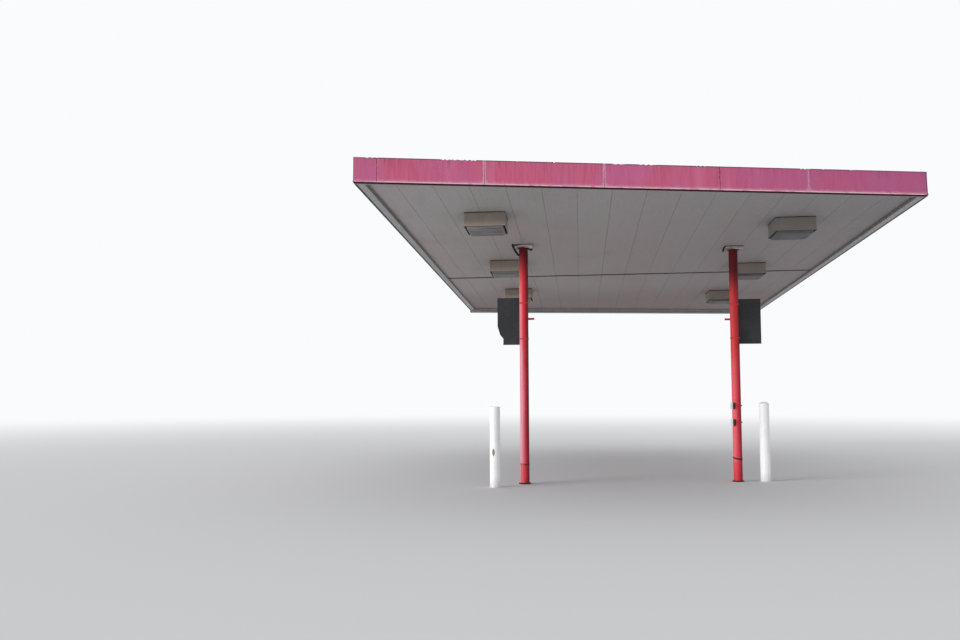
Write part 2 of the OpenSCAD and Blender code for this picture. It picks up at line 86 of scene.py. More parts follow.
print("front corners:", on_roof(LEFT_X, FRONT_Y, 0.0).round(3),
      on_roof(RIGHT_X, front_y(RIGHT_X), 0.0).round(3))

# %% [markdown]
# The camera stands in front of the canopy at eye height and looks slightly up. A camera
# is three directions and a place: right, up, and backwards along the view. Writing them
# as the columns of a matrix avoids any guess about the order of rotations.

# %% Camera
HEADING, PITCH, ROLL = 0.10735, 0.07263, 0.00374
EYE, FOCAL_LENGTH, SENSOR_WIDTH = (0.882, -14.676, 1.500), 34.875, 36.0
ahead = Vector((-math.sin(HEADING) * math.cos(PITCH),
                math.cos(HEADING) * math.cos(PITCH), math.sin(PITCH)))
level = Vector((math.cos(HEADING), math.sin(HEADING), 0.0))
upward = level.cross(ahead)
right = level * math.cos(ROLL) - upward * math.sin(ROLL)
above = upward * math.cos(ROLL) + level * math.sin(ROLL)
camera = bpy.data.objects.new("camera", bpy.data.cameras.new("camera"))
bpy.context.scene.collection.objects.link(camera)
camera.data.sensor_width = SENSOR_WIDTH
camera.data.lens = FOCAL_LENGTH
camera.data.clip_end = 400.0
turn = Matrix((right, above, -ahead)).transposed().to_4x4()
camera.matrix_world = Matrix.Translation(EYE) @ turn
bpy.context.scene.camera = camera
bpy.context.scene.view_settings.view_transform = "Standard"
print("camera looks along", ahead)

# %% [markdown]
# Materials are easier to read as formulas than as lists of nodes. The class below wraps
# one socket. Python's own operators add Math nodes, and their reflected forms let a
# plain number stand on the left, as in 1 - mask. The finish keeps the node tree, and its
# one method makes any other node from a type, its settings and its inputs.


# %% A wire that does arithmetic
class Wire:
    """A socket of a finish; a + b, a - b, a * b, a / b and a ** b add Math nodes."""

    def __init__(self, finish, socket):
        self.finish, self.socket = finish, socket

    def math(self, operation, *terms):
        return self.finish.node("Math", {"operation": operation}, dict(enumerate(terms)))

    def __add__(self, other):
        return self.math("ADD", self, other)

    def __sub__(self, other):
        return self.math("SUBTRACT", self, other)

    def __rsub__(self, other):
        return self.math("SUBTRACT", other, self)

    def __mul__(self, other):
        return self.math("MULTIPLY", self, other)

    def __truediv__(self, other):
        return self.math("DIVIDE", self, other)

    def __rtruediv__(self, other):
        return self.math("DIVIDE", other, self)

    def __pow__(self, other):
        return self.math("POWER", self, other)

    def __rpow__(self, other):
        return self.math("POWER", other, self)

    __radd__, __rmul__ = __add__, __mul__

    def __abs__(self):
        return self.math("ABSOLUTE", self)

    def floor(self):
        return self.math("FLOOR", self)

    def most(self, other):
        return self.math("MAXIMUM", self, other)

    def least(self, other):
        return self.math("MINIMUM", self, other)


class Finish:
    """A material or the sky under construction: a node tree and short names for nodes."""

    def __init__(self, name, owner=None):
        self.owner = owner or bpy.data.materials.new(name)
        self.owner.use_nodes = True
        self.tree = self.owner.node_tree
        self.tree.nodes.clear()
        self.place = self.node("TexCoord", out="Object")

    def node(self, kind, settings=None, inputs=None, out=0):
        """Makes any node, sets it, fills its inputs and gives back one of its outputs."""
        made = self.tree.nodes.new("ShaderNode" + kind)
        for key, value in (settings or {}).items():
            setattr(made, key, value)
        for key, value in (inputs or {}).items():
            if isinstance(value, Wire):
                self.tree.links.new(value.socket, made.inputs[key])
            elif isinstance(value, tuple) and made.inputs[key].type == "RGBA":
                made.inputs[key].default_value = (*value, 1.0)
            else:
                made.inputs[key].default_value = value
        return Wire(self, made.outputs[out]) if len(made.outputs) else made

    def stretch(self, x, y, z, source=None):
        """The place, multiplied along each axis, so that a pattern shrinks that way."""
        return self.node("Mapping", {}, {"Vector": source or self.place, "Scale": (x, y, z)})

    def noise(self, scale, detail=3.0, rough=0.55, at=None):
        """A cloudy value around 0.5; scale is about the number of clouds in a metre."""
        return self.node("TexNoise", {}, {"Vector": at or self.place, "Scale": scale,
                                          "Detail": detail, "Roughness": rough})

    def between(self, value, low, high):
        """0 below low, 1 above high and a smooth rise between; high may be the smaller."""
        return self.node("MapRange", {"interpolation_type": "SMOOTHSTEP"},
                         {"Value": value, "From Min": low, "From Max": high})

    def blend(self, below, over, share):
        """Colour over laid on colour below by a share from 0 to 1."""
        return self.node("Mix", {"data_type": "RGBA"}, {0: share, 6: below, 7: over}, out=2)

    def split(self, vector):
        """X, Y and Z of a vector, as three wires."""
        parts = self.node("SeparateXYZ", {}, {0: vector}).socket.node
        return [Wire(self, socket) for socket in parts.outputs]

    def level_roof(self):
        """The place as it would be on the level roof, before it leans."""
        return self.node("Mapping", {"vector_type": "TEXTURE"},
                         {"Vector": self.place, "Location": (0, 0, ROOF_Z),
                          "Rotation": (-FALL, -RISE, 0)})

    def done(self, color, rough, height, depth, **fixed):
        """Ends the tree in one Principled shader; height is a relief of that depth."""
        relief = self.node("Bump", {}, {"Height": height, "Distance": depth, "Strength": 1.0})
        sockets = {"Base Color": color, "Roughness": rough, "Normal": relief}
        sockets.update({key.replace("_", " "): value for key, value in fixed.items()})
        shader = self.node("BsdfPrincipled", {}, sockets)
        self.node("OutputMaterial", {}, {"Surface": shader})
        return self.owner


def from_sides(x):
    """Distance inward from the nearer side: the lesser of x - left and right - x."""
    return (x - LEFT_X).least(RIGHT_X - x)


print("wires and finishes are ready")

# %% [markdown]
# The fascia is red sheet metal that the sun has turned chalky and raspberry pink. The
# rain has drawn fine upright streaks in it. A noise that is stretched upright gives
# them: the place is multiplied by a large number across and a small one along Z. The
# pale hem at the foot and the dirt below the top edge need the height above the leaned
# roof, so they read the level place. Old sealant has hazed the paint beside the joints,
# most of all near their foot, where a dark seam shows. Painted shade darkens the sheet
# towards the right, at its corners and under the hem.


# %% Fascia paint
def fascia_paint():
    """Red, then layers of age and of painted shade; each share is a noise times a place."""
    f = Finish("fascia_sheet")
    x, y, up = f.split(f.level_roof())
    fine = f.noise(1.0, 4, 0.6, f.stretch(55, 55, 1.6))
    broad = f.noise(1.0, 3, 0.5, f.stretch(7, 7, 0.7))
    patch = f.noise(1.3, 4, 0.6)
    color = f.blend((0.545, 0.092, 0.190), (0.455, 0.062, 0.142),
                    f.between(fine, 0.42, 0.66) * 0.8)
    color = f.blend(color, (0.590, 0.160, 0.285), f.between(broad, 0.50, 0.72) * 0.50)
    color = f.blend(color, (0.470, 0.110, 0.262), f.between(patch, 0.44, 0.66) * 0.60)
    # Painted shade: the sheet darkens towards the right, away from the light.
    color = f.blend(color, (0.330, 0.062, 0.185), f.between(x, 1.0, 5.4) * 0.62)
    speck = f.between(f.noise(90, 2), 0.66, 0.74) * f.between(patch, 0.40, 0.60)
    color = f.blend(color, (0.68, 0.50, 0.56), speck * 0.5)
    drip = f.between(f.noise(1.0, 3, 0.6, f.stretch(26, 26, 0.9)), 0.52, 0.70)
    top = f.between(up, 0.150, FASCIA)
    color = f.blend(color, (0.230, 0.050, 0.085), drip * top * 0.55)
    chalk = f.between(f.noise(14, 4, 0.65) * 0.05 + up, 0.088, 0.044)
    color = f.blend(color, (0.70, 0.42, 0.50), chalk * 0.40)
    hem = f.between(up, 0.0300, 0.0275) * f.between(f.noise(9, 3), 0.30, 0.52)
    color = f.blend(color, (0.77, 0.50, 0.57), hem * 0.85)
    rim = f.between(up, 0.298, 0.306) * f.between(f.noise(24, 3, 0.7), 0.22, 0.42)
    color = f.blend(color, (0.120, 0.025, 0.060), rim * 0.85)
    color = f.blend(color, (0.440, 0.115, 0.262), f.between(x, -1.42, -1.55) * 0.35)
    # Painted shade at the corners where the front turns into the sides, deepest on the right.
    for edge, inner, share in ((LEFT_X, 0.007, 0.5), (RIGHT_X, -0.014, 0.85)):
        corner = f.between(x, edge + inner * 1.25, edge + inner)
        corner = corner * f.between(y, front_y(edge) + 0.016, front_y(edge) + 0.010)
        color = f.blend(color, (0.100, 0.030, 0.080), corner * share)
    for joint, share in zip(FRONT_JOINTS[1:], (0.62, 0.50, 0.12, 0.34)):
        away = abs(x - joint)
        reach = 0.021 + f.between(up + fine * 0.03, 0.125, 0.025) * 0.052
        haze = f.between(away / reach, 1.15, 0.15) * (0.45 + 0.55 * fine)
        color = f.blend(color, (0.640, 0.370, 0.470), haze * share)
        seam = f.between(away, 0.0065, 0.0035) * f.between(up, 0.190, 0.110)
        color = f.blend(color, (0.250, 0.100, 0.150), seam * share)
    # Painted shade along the underside of the hem at the foot.
    color = f.blend(color, (0.045, 0.014, 0.026), f.between(up, 0.0160, 0.0148) * 0.9)
    relief = fine * 0.35 + f.noise(2.2, 2) * 1.2
    return f.done(color, 0.52 + 0.18 * patch, relief, 0.0025)


FASCIA_PAINT = fascia_paint()
print("made", FASCIA_PAINT.name)

# %% [markdown]
# The soffit is made of formed pans, each painted a warm grey. No two pans have aged
# alike, so the number of the pan, which is the whole part of its distance divided by
# the pan's width, picks a tint from white noise. Dirt collects along the open seams,
# long faint streaks follow the pans, and rust blushes through near the left post. The
# paint is darker towards the rear. Painted shade darkens it towards the right, painted
# light brightens it towards the left, where the light comes from, and painted shade lies
# in a band beside the edge trims and on the walls of the open seams.


# %% Soffit paint
def soffit_paint():
    """Grey with a tint for each pan, then stains, dirt, painted shade and light by noise and
    place.
    """
    f = Finish("soffit_pans")
    level_place = f.level_roof()
    x, y, z = f.split(level_place)
    pan = (x - PAN_SEAM) / PAN_W
    number = pan.floor()
    tint, tone = [f.node("TexWhiteNoise", {"noise_dimensions": "1D"}, {"W": number + shift},
                         out="Value") for shift in (0.0, 37.5)]
    seam = f.between(abs(pan - number - 0.5), 0.482, 0.499)
    color = f.blend((0.366, 0.348, 0.348), (0.390, 0.374, 0.369), tint)
    color = f.blend(color, (0.390, 0.340, 0.346), f.between(tone, 0.45, 1.0) * 0.6)
    # Painted shade: darker towards the right, away from the light.
    color = f.blend(color, (0.200, 0.181, 0.196), f.between(x + y * 0.25, 0.2, 6.5) * 0.80)
    color = f.blend(color, (0.240, 0.190, 0.182), f.between(y, 3.0, 7.5) * 0.85)
    # Painted light: paler towards the left, where the light comes from.
    color = f.blend(color, (0.500, 0.465, 0.455), f.between(x + y * 0.15, 0.2, -1.8) * 0.45)
    cloud = f.noise(0.8, 5, 0.62)
    color = f.blend(color, (0.335, 0.325, 0.312), f.between(cloud, 0.46, 0.72) * 0.55)
    streak = f.noise(1.0, 4, 0.6, f.stretch(34, 1.1, 34, level_place))
    color = f.blend(color, (0.305, 0.292, 0.284), f.between(streak, 0.52, 0.74) * 0.45)
    dust = f.noise(150, 2, 0.6)
    color = f.blend(color, (0.52, 0.505, 0.49), f.between(dust, 0.50, 0.70) * 0.30)
    grime = f.noise(1.0, 3, 0.6, f.stretch(9, 2.2, 9, level_place))
    color = f.blend(color, (0.24, 0.19, 0.19), seam * f.between(grime, 0.36, 0.66) * 0.30)
    stain = f.between(f.noise(1.7, 4, 0.7), 0.62, 0.78)
    color = f.blend(color, (0.30, 0.24, 0.19), stain * 0.40)
    blush = f.between(f.noise(2.3, 4, 0.7, f.stretch(1, 0.35, 1, level_place)), 0.56, 0.70)
    color = f.blend(color, (0.400, 0.300, 0.312), blush * 0.40)
    behind = y + 0.9
    by_post = (x * x * 4.0 + behind * behind * 0.7) ** 0.5
    color = f.blend(color, (0.440, 0.285, 0.310), f.between(by_post, 1.1, 0.1) * 0.45 * cloud)
    color = f.blend(color, (0.455, 0.372, 0.366), f.between(y, -2.5, 2.0) * 0.30)
    # Painted shade in a band beside the edge trims, below their upturns, widest at the front.
    trim_shade = f.between(from_sides(x), 0.175, 0.128) * f.between(y, 5.0, -3.0)
    color = f.blend(color, (0.130, 0.122, 0.116), trim_shade * 0.75)
    color = f.blend(color, (0.160, 0.096, 0.090), f.between(y, 4.0, 6.6) * 0.42)
    mottle = f.noise(24, 3, 0.7)
    color = f.blend(color, (0.250, 0.235, 0.232), f.between(mottle, 0.50, 0.72) * 0.30)
    color = f.blend(color, (0.500, 0.475, 0.470), f.between(mottle, 0.48, 0.30) * 0.26)
    # Painted shade on the faces that rise above the pans' underside, the walls of the open
    # seams.
    edge = f.between(z, PAN_Z + 0.002, PAN_Z + 0.006)
    color = f.blend(color, (0.185, 0.165, 0.160), edge)
    relief = f.noise(1.0, 2, 0.5, f.stretch(4.6, 0.7, 4.6, level_place)) + dust * 0.03
    return f.done(color, 0.58 + 0.14 * cloud, relief, 0.004)


SOFFIT_PAINT = soffit_paint()
print("made", SOFFIT_PAINT.name)

# %% [markdown]
# Most of the other parts are painted or bare sheet steel with the same three layers of
# age: a cloudy change of tone, thin upright dirt, and small chips with rust in them. One
# recipe takes a colour each for the paint, the dulled paint, the dirt and the chips.
# Where a part has marks of its own, a small function adds them as the last layers.


# %% Aged steel
def aged_paint(name, paint, dull, dirt, chip, wear, chips, rough, marks=None, **fixed):
    """Paint to dull by clouds, dirt by drips and by grain, chips where a noise is high."""
    f = Finish(name)
    cloud = f.noise(2.6, 5, 0.62)
    fine = f.noise(38, 4, 0.6)
    drip = f.noise(1.0, 4, 0.6, f.stretch(30, 30, 2.0))
    color = f.blend(paint, dull, f.between(cloud, 0.36, 0.70))
    color = f.blend(color, dirt, f.between(drip, 0.50, 0.74) * wear)
    color = f.blend(color, dirt, f.between(fine, 0.52, 0.72) * wear * 0.6)
    bare = f.between(f.noise(17, 5, 0.72), chips, chips + 0.025)
    color = f.blend(color, chip, bare * 0.9)
    color = marks(f, color) if marks else color
    relief = fine * 0.25 + cloud * 0.6 - bare * 0.5
    return f.done(color, rough + 0.25 * fine + 0.12 * bare, relief, 0.0015, **fixed)


print("one recipe for aged steel is ready")

# %% [markdown]
# Six lights hang below the soffit in two columns, and the right column stands further
# back, along with the skewed front edge. Both their finish and their shape need these
# places, so they are written once, with the height of the lens's foot and of the lip
# where the lens meets its housing.

# %% Places of the lights
LIGHT_X, LIGHT_ROWS, LIGHT_STEP = (-0.380, 3.872), (-2.105, 1.460, 4.700), 0.840
HOUSING_HALF = 0.2725
LENS_Z, LIP_Z = PAN_Z - 0.228, PAN_Z - 0.194
LIGHTS = {row + "_" + side: (LIGHT_X[column], round(y + LIGHT_STEP * column, 3))
          for column, side in enumerate(("left", "right"))
          for row, y in zip(("front", "middle", "rear"), LIGHT_ROWS)}
print("lights stand at", LIGHTS)

# %% [markdown]
# These are the marks of single parts: the dark lines where sheets meet, stains, paint
# that was brushed over an edge, and painted shade and highlights at trims, lights and
# collars. Most are found by a distance on the level roof, and a line comes in over a
# millimetre or two, as a real edge does.


# %% Marks of single parts
def trim_lines(f, color):
    """By distance from the roof's side: a painted shadow line outside, painted shade on the
    upturn.
    """
    x, y, _ = f.split(f.level_roof())
    inward = from_sides(x)
    # Painted shade on the inner face of the upturn.
    upturn = f.between(inward, 0.1180, 0.1192) * f.between(inward, 0.1240, 0.1230)
    color = f.blend(color, (0.255, 0.235, 0.215), upturn)
    # Painted shadow along the outer edge, below the fascia's hem.
    color = f.blend(color, (0.030, 0.022, 0.030), f.between(inward, 0.036, 0.030))
    return f.blend(color, (0.200, 0.190, 0.182), f.between(y, 6.9, 7.3) * 0.32)


def housing_lines(f, color):
    """Paler foot on the left, greyer right, dark at the soffit, painted highlight and shade at
    the lip.
    """
    x, y, up = f.split(f.level_roof())
    right = f.between(x, 1.0, 2.0)
    front, middle, rear = LIGHT_ROWS
    dx = x - LIGHT_X[0] - right * (LIGHT_X[1] - LIGHT_X[0])
    row = y - front - right * LIGHT_STEP
    dy = row - f.between(row, 1.7, 1.8) * (middle - front)
    dy = dy - f.between(row, 5.1, 5.2) * (rear - middle)
    streak = f.noise(1.0, 3, 0.6, f.stretch(22, 22, 1.5))
    foot = f.between(up + streak * 0.04, PAN_Z - 0.080, PAN_Z - 0.160) * (1.0 - right)
    color = f.blend(color, (0.430, 0.370, 0.285), foot * 0.75)
    grey = right * (0.08 + 0.60 * f.between(y, 1.2, 0.0))
    color = f.blend(color, (0.205, 0.196, 0.188), grey)
    # Painted highlight: a pale line along the lip, mostly on the left column.
    pale = f.between(up, LIP_Z + 0.014, LIP_Z + 0.010) * (1.0 - right * 0.8)
    color = f.blend(color, (0.500, 0.450, 0.350), pale)
    color = f.blend(color, (0.045, 0.040, 0.036), f.between(up, PAN_Z - 0.014, PAN_Z - 0.009))
    # Painted shade on the inner faces of the walls and below the lip, seen through the gap.
    inner = f.between(abs(dx).most(abs(dy)), HOUSING_HALF - 0.0011, HOUSING_HALF - 0.0017)
    lip = f.between(up, LIP_Z + 0.0016, LIP_Z + 0.0008)
    return f.blend(color, (0.032, 0.028, 0.027), lip.most(inner))


def collar_lines(f, color):
    """Painted shade at the soffit and round the post, pale only along the front of the
    underside.
    """
    x, y, up = f.split(f.level_roof())
    post = f.between(x, 1.0, 2.0)
    dx, dy = x - post * POST_GAP, y - post * POST_STEP
    below = f.between(up, PAN_Z - 0.036, PAN_Z - 0.039)
    color = f.blend(color, (0.330, 0.290, 0.280), below)
    front = f.between(dy - (1.0 - post) * 0.05, -0.080, -0.105)
    color = f.blend(color, (0.740, 0.640, 0.630), below * front)
    color = f.blend(color, (0.880, 0.710, 0.690), below * front * (1.0 - post) * 0.8)
    # Painted shade in a ring round the post, in the gap between post and tray.
    ring = f.between((dx * dx + dy * dy) ** 0.5, 0.104, 0.094)
    color = f.blend(color, (0.035, 0.020, 0.022), below * ring)
    hem = f.between(up, PAN_Z - 0.030, PAN_Z - 0.033) * (1.0 - below)
    color = f.blend(color, (0.110, 0.095, 0.090), hem * 0.8)
    # Painted shadow line where the tray meets the soffit.
    return f.blend(color, (0.040, 0.032, 0.030), f.between(up, PAN_Z - 0.014, PAN_Z - 0.010))


def beam_underside(f, color):
    """The flange is grey below, like the pans; its edge and first 22 mm are dark."""
    x, y, up = f.split(f.level_roof())
    inward = y - (x - LEFT_X) * SKEW - FRONT_Y
    grey = f.between(up, 0.0012, 0.0006) * f.between(inward, 0.020, 0.026)
    return f.blend(color, (0.370, 0.352, 0.350), grey)


def red_band(f, color):
    """Red within 79 mm of the right post's axis: the square root of dx^2 + dy^2."""
    x, y, _ = f.split(f.place)
    dx, dy = x - POST_GAP, y - POST_STEP
    near = f.between((dx * dx + dy * dy) ** 0.5, 0.0790, 0.0770)
    return f.blend(color, (0.56, 0.040, 0.052), near)


def half_red(f, color):
    """Red paint still sticks to the left half of the strap, x below zero."""
    x, _, _ = f.split(f.place)
    return f.blend(color, (0.62, 0.075, 0.105), f.between(x, 0.012, -0.022) * 0.85)


print("marks for trims, housings, collars, beam, boxes and strap are ready")

# %% [markdown]
# Now the recipe is used once for each kind of steel part. The numbers after the four
# colours say how much dirt there is, how rare the chips are, and how rough the paint is.
# Old paint is dull, so some finishes also turn the mirror part of the shader down.

# %% Finishes of aged steel
TRIM_PAINT = aged_paint("trim_paint", (0.46, 0.46, 0.455), (0.40, 0.405, 0.40),
                        (0.27, 0.26, 0.245), (0.24, 0.15, 0.10), 0.45, 0.72, 0.50,
                        marks=trim_lines)
HOUSING_PAINT = aged_paint("light_housing", (0.305, 0.258, 0.216), (0.252, 0.214, 0.182),
                           (0.180, 0.150, 0.125), (0.17, 0.11, 0.07), 0.50, 0.71, 0.48,
                           marks=housing_lines)
COLLAR_PAINT = aged_paint("collar_sheet", (0.52, 0.46, 0.44), (0.42, 0.36, 0.33),
                          (0.22, 0.16, 0.13), (0.16, 0.075, 0.045), 0.60, 0.58, 0.55,
                          marks=collar_lines)
EDGE_STEEL = aged_paint("edge_steel", (0.042, 0.008, 0.016), (0.030, 0.008, 0.014),
                        (0.035, 0.018, 0.018), (0.12, 0.055, 0.035), 0.50, 0.62, 0.60,
                        marks=beam_underside, Specular_IOR_Level=0.08)
PRIMER = aged_paint("structural_steel", (0.150, 0.055, 0.040), (0.120, 0.048, 0.036),
                    (0.075, 0.040, 0.030), (0.19, 0.080, 0.040), 0.50, 0.60, 0.68)
# The joint strip is painted dark as the shade of the gap it closes, with the recipe's dirt on
# it.
JOINT_SHADE_AND_GRIME = aged_paint("joint_strip", (0.105, 0.095, 0.090), (0.070, 0.062, 0.060),
                         (0.045, 0.038, 0.036), (0.14, 0.08, 0.05), 0.50, 0.62, 0.75)
DECK_STEEL = aged_paint("deck_steel", (0.48, 0.49, 0.50), (0.40, 0.415, 0.425),
                        (0.30, 0.30, 0.30), (0.25, 0.16, 0.11), 0.30, 0.74, 0.42)
ARM_PAINT = aged_paint("arm_paint", (0.66, 0.060, 0.070), (0.54, 0.045, 0.055),
                       (0.26, 0.040, 0.040), (0.16, 0.060, 0.035), 0.40, 0.63, 0.45,
                       Specular_IOR_Level=0.15)
# The box body is near black: partly its own dark paint, partly painted shade for the side
# turned from the light.
BOX_PAINT = aged_paint("outlet_box", (0.060, 0.028, 0.032), (0.045, 0.024, 0.026),
                       (0.030, 0.020, 0.020), (0.09, 0.040, 0.030), 0.50, 0.62, 0.55,
                       marks=red_band, Specular_IOR_Level=0.15)
print("made", len(bpy.data.materials), "finishes so far")

# %% [markdown]
# The posts are glossy red. Sun and weather have faded the lower half to pink, most of
# all on the left post and on the side that faces left, where the pink is also a painted
# highlight of the bright sky. A painted highlight brightens the left side, painted shade
# darkens the right side, rust creeps up from the foot, and painted shade darkens the head
# under the soffit. Height is the Z of the place itself, so each change of tone is a
# smooth step over Z that a noise pushes up and down. Round the post, side runs from -1
# at its left to 1 at its right.


# %% Post paint
def post_paint():
    """Red, then painted highlight and shade, fade and painted highlight, drips, rust, painted
    head shade.
    """
    f = Finish("post_paint")
    x, _, z = f.split(f.place)
    cloud = f.noise(3.2, 5, 0.6)
    drip = f.noise(1.0, 4, 0.62, f.stretch(30, 30, 1.3))
    left = f.between(x, 2.0, 1.0)
    side = (x - (1.0 - left) * POST_GAP) / POST_R
    color = f.blend((0.690, 0.040, 0.058), (0.610, 0.032, 0.050), f.between(cloud, 0.40, 0.66))
    # Painted highlight: a brighter red on the left side, where the light comes from.
    highlight_height = f.between(z, 0.1, 1.1) * (1.0 - left) + f.between(z + cloud * 0.5, 2.3, 2.9) * left
    color = f.blend(color, (0.900, 0.070, 0.075), f.between(side, 0.3, -0.7) * highlight_height * 0.90)
    # Painted shade: the right side, turned from the light, is much darker.
    color = f.blend(color, (0.160, 0.011, 0.020), f.between(side, 0.25, 0.95) * 0.95)
    # The pink is real fading of the lower half and, on the left side, also a painted highlight
    # of the bright sky.
    spread = f.between(z + cloud * 0.5, 2.75, 1.95) * 0.5
    fade = f.between(z + cloud * 0.6, 3.75, 2.90) * f.between(side - spread, -0.10, -1.05)
    faded_and_lit = left + f.between(z + cloud * 0.8, 2.5, 2.0) * (1.0 - left) * 0.30
    fade = fade * faded_and_lit * (1.0 - f.between(z, 0.314, 0.300) * 0.65)
    color = f.blend(color, (0.700, 0.260, 0.345), fade)
    color = f.blend(color, (0.780, 0.370, 0.440), f.between(drip, 0.50, 0.70) * fade * 0.5)
    color = f.blend(color, (0.300, 0.020, 0.030), f.between(drip, 0.50, 0.34) * 0.25)
    fine = f.noise(60, 4, 0.65)
    color = f.blend(color, (0.30, 0.060, 0.050), f.between(fine, 0.60, 0.70) * 0.35)
    rise = f.noise(1.0, 5, 0.65, f.stretch(22, 22, 9))
    rust = f.between(z - rise * 0.04, 0.012, -0.010)
    chip = f.between(f.noise(24, 5, 0.75), 0.70, 0.73) * f.between(z, 1.8, 0.2)
    rust = rust.most(chip * 0.9)
    color = f.blend(color, f.blend((0.120, 0.042, 0.024), (0.235, 0.095, 0.045), fine), rust)
    # Painted shade: the head under the soffit is darkened as if the roof kept light from it.
    head_shade = f.between(z + drip * 0.25 - left * 0.26, 3.02, 3.54)
    color = f.blend(color, (0.060, 0.007, 0.013), head_shade * 0.88)
    color = f.blend(color, (0.035, 0.012, 0.013), f.between(z, 0.0178, 0.0158) * 0.95)
    relief = fine * 0.12 + cloud * 0.3 - chip * 0.5 + rust * fine * 0.8
    return f.done(color, 0.34 + 0.14 * drip + 0.40 * rust, relief, 0.0012,
                  Specular_IOR_Level=0.12)


POST_PAINT = post_paint()
print("made", POST_PAINT.name)

# %% [markdown]
# The bollards carry many coats of white paint. It is slightly lumpy, greyed at the foot
# where rain splashes it, and chipped to old paint and rust in places. One larger chip on
# the left bollard is a round shape with a ragged edge. It could be cut into the mesh, but
# it is thinner than the paint, so a noise added to the squared distance from its middle
# is enough.


# %% Bollard paint
def bollard_paint():
    """White, then drips, a splashed foot, small spots and the one larger chip."""
    f = Finish("bollard_paint")
    x, y, z = f.split(f.place)
    cloud = f.noise(4.0, 5, 0.6)
    fine = f.noise(48, 4, 0.6)
    drip = f.noise(1.0, 3, 0.6, f.stretch(26, 26, 1.4))
    color = f.blend((0.960, 0.970, 0.990), (0.905, 0.915, 0.945), f.between(cloud, 0.38, 0.70))
    color = f.blend(color, (0.78, 0.765, 0.74), f.between(drip, 0.56, 0.78) * 0.40)
    splash = f.between(z - fine * 0.08 - cloud * 0.08, 0.10, -0.08)
    color = f.blend(color, (0.60, 0.575, 0.53), splash * 0.55)
    spot = f.between(f.noise(15, 5, 0.72), 0.705, 0.720)
    color = f.blend(color, (0.30, 0.22, 0.16), spot)
    chip_at, chip_size = (-0.437, -0.612, 0.525), (0.022, 0.050, 0.062)
    dx, dy, dz = [(wire - middle) / size
                  for wire, middle, size in zip((x, y, z), chip_at, chip_size)]
    ragged = dx * dx + dy * dy + dz * dz + f.noise(30, 4, 0.7) * 1.1
    chip = f.between(ragged, 1.45, 1.35)
    color = f.blend(color, f.blend((0.200, 0.150, 0.115), (0.36, 0.31, 0.26), fine), chip)
    relief = cloud * 0.7 + drip * 0.5 + fine * 0.10 - chip * 0.6 - spot * 0.4
    return f.done(color, 0.34 + 0.20 * fine + 0.30 * chip, relief, 0.0022)


BOLLARD_PAINT = bollard_paint()
print("made", BOLLARD_PAINT.name)

# %% [markdown]
# The lens is clouded plastic that was once clear. It could be a see-through shader with
# a lamp behind, but no lamp is lit and the dirt hides the inside, so an opaque grey looks
# the same. The streaks of dirt follow the ribs, so their noise is stretched that way.


# %% Lens plastic
def lens_plastic():
    """Grey plastic, pale and dark streaks, dust, a pale foot and a darker right column."""
    f = Finish("lens_plastic")
    cloud = f.noise(5.0, 4, 0.6)
    dust = f.noise(70, 3, 0.6)
    level_place = f.level_roof()
    x, _, up = f.split(level_place)
    color = f.blend((0.172, 0.160, 0.158), (0.118, 0.108, 0.108),
                    f.between(cloud, 0.38, 0.66))
    streak = f.noise(1.0, 3, 0.6, f.stretch(2.4, 34, 34, level_place))
    color = f.blend(color, (0.330, 0.315, 0.312), f.between(streak, 0.50, 0.66) * 0.7)
    color = f.blend(color, (0.085, 0.076, 0.074), f.between(streak, 0.46, 0.34) * 0.7)
    color = f.blend(color, (0.09, 0.08, 0.075), f.between(dust, 0.56, 0.72) * 0.4)
    color = f.blend(color, (0.34, 0.325, 0.32),
                    f.between(up, LENS_Z + 0.006, LENS_Z + 0.014) * 0.5)
    color = f.blend(color, (0.075, 0.073, 0.080), f.between(x, 1.0, 2.0) * 0.80)
    return f.done(color, 0.36 + 0.22 * dust, streak * 0.8 + cloud * 0.2, 0.0012,
                  Specular_IOR_Level=0.35)


LENS_PLASTIC = lens_plastic()
print("made", LENS_PLASTIC.name)

# %% [markdown]
# The two plates beside the posts are black painted sheet and stay bare. One flat black
# would look like a hole, so they get level scuffs, thin grey drips, and a slow change of
# gloss.


# %% Black plates
def plate_black():
    """Black in two tones by clouds, then scuffs and drips where their noises are high."""
    f = Finish("plate_black")
    cloud = f.noise(3.4, 5, 0.62)
    scuff = f.noise(1.0, 4, 0.7, f.stretch(14, 14, 90))
    color = f.blend((0.026, 0.028, 0.033), (0.042, 0.043, 0.050),
                    f.between(cloud, 0.36, 0.68))
    color = f.blend(color, (0.105, 0.105, 0.112), f.between(scuff, 0.64, 0.76) * 0.45)
    drip = f.noise(1.0, 3, 0.6, f.stretch(34, 34, 1.5))
    color = f.blend(color, (0.075, 0.072, 0.070), f.between(drip, 0.55, 0.75) * 0.45)
    return f.done(color, 0.38 + 0.22 * cloud + 0.10 * scuff, cloud * 0.8 + scuff * 0.1,
                  0.002, Specular_IOR_Level=0.30)


PLATE_BLACK = plate_black()
print("made", PLATE_BLACK.name)

# %% [markdown]
# The roof is covered with bitumen felt that has mineral grit pressed into it. The grit
# is a very fine noise in colour and relief, because real grains would take millions of
# faces. Water leaves broad dark patches, and a dark line runs along each lap, where one
# sheet ends on the next.

# %% Roof felt finish
FELT_LAP, FELT_ROLL = LEFT_X + 0.623, 0.92


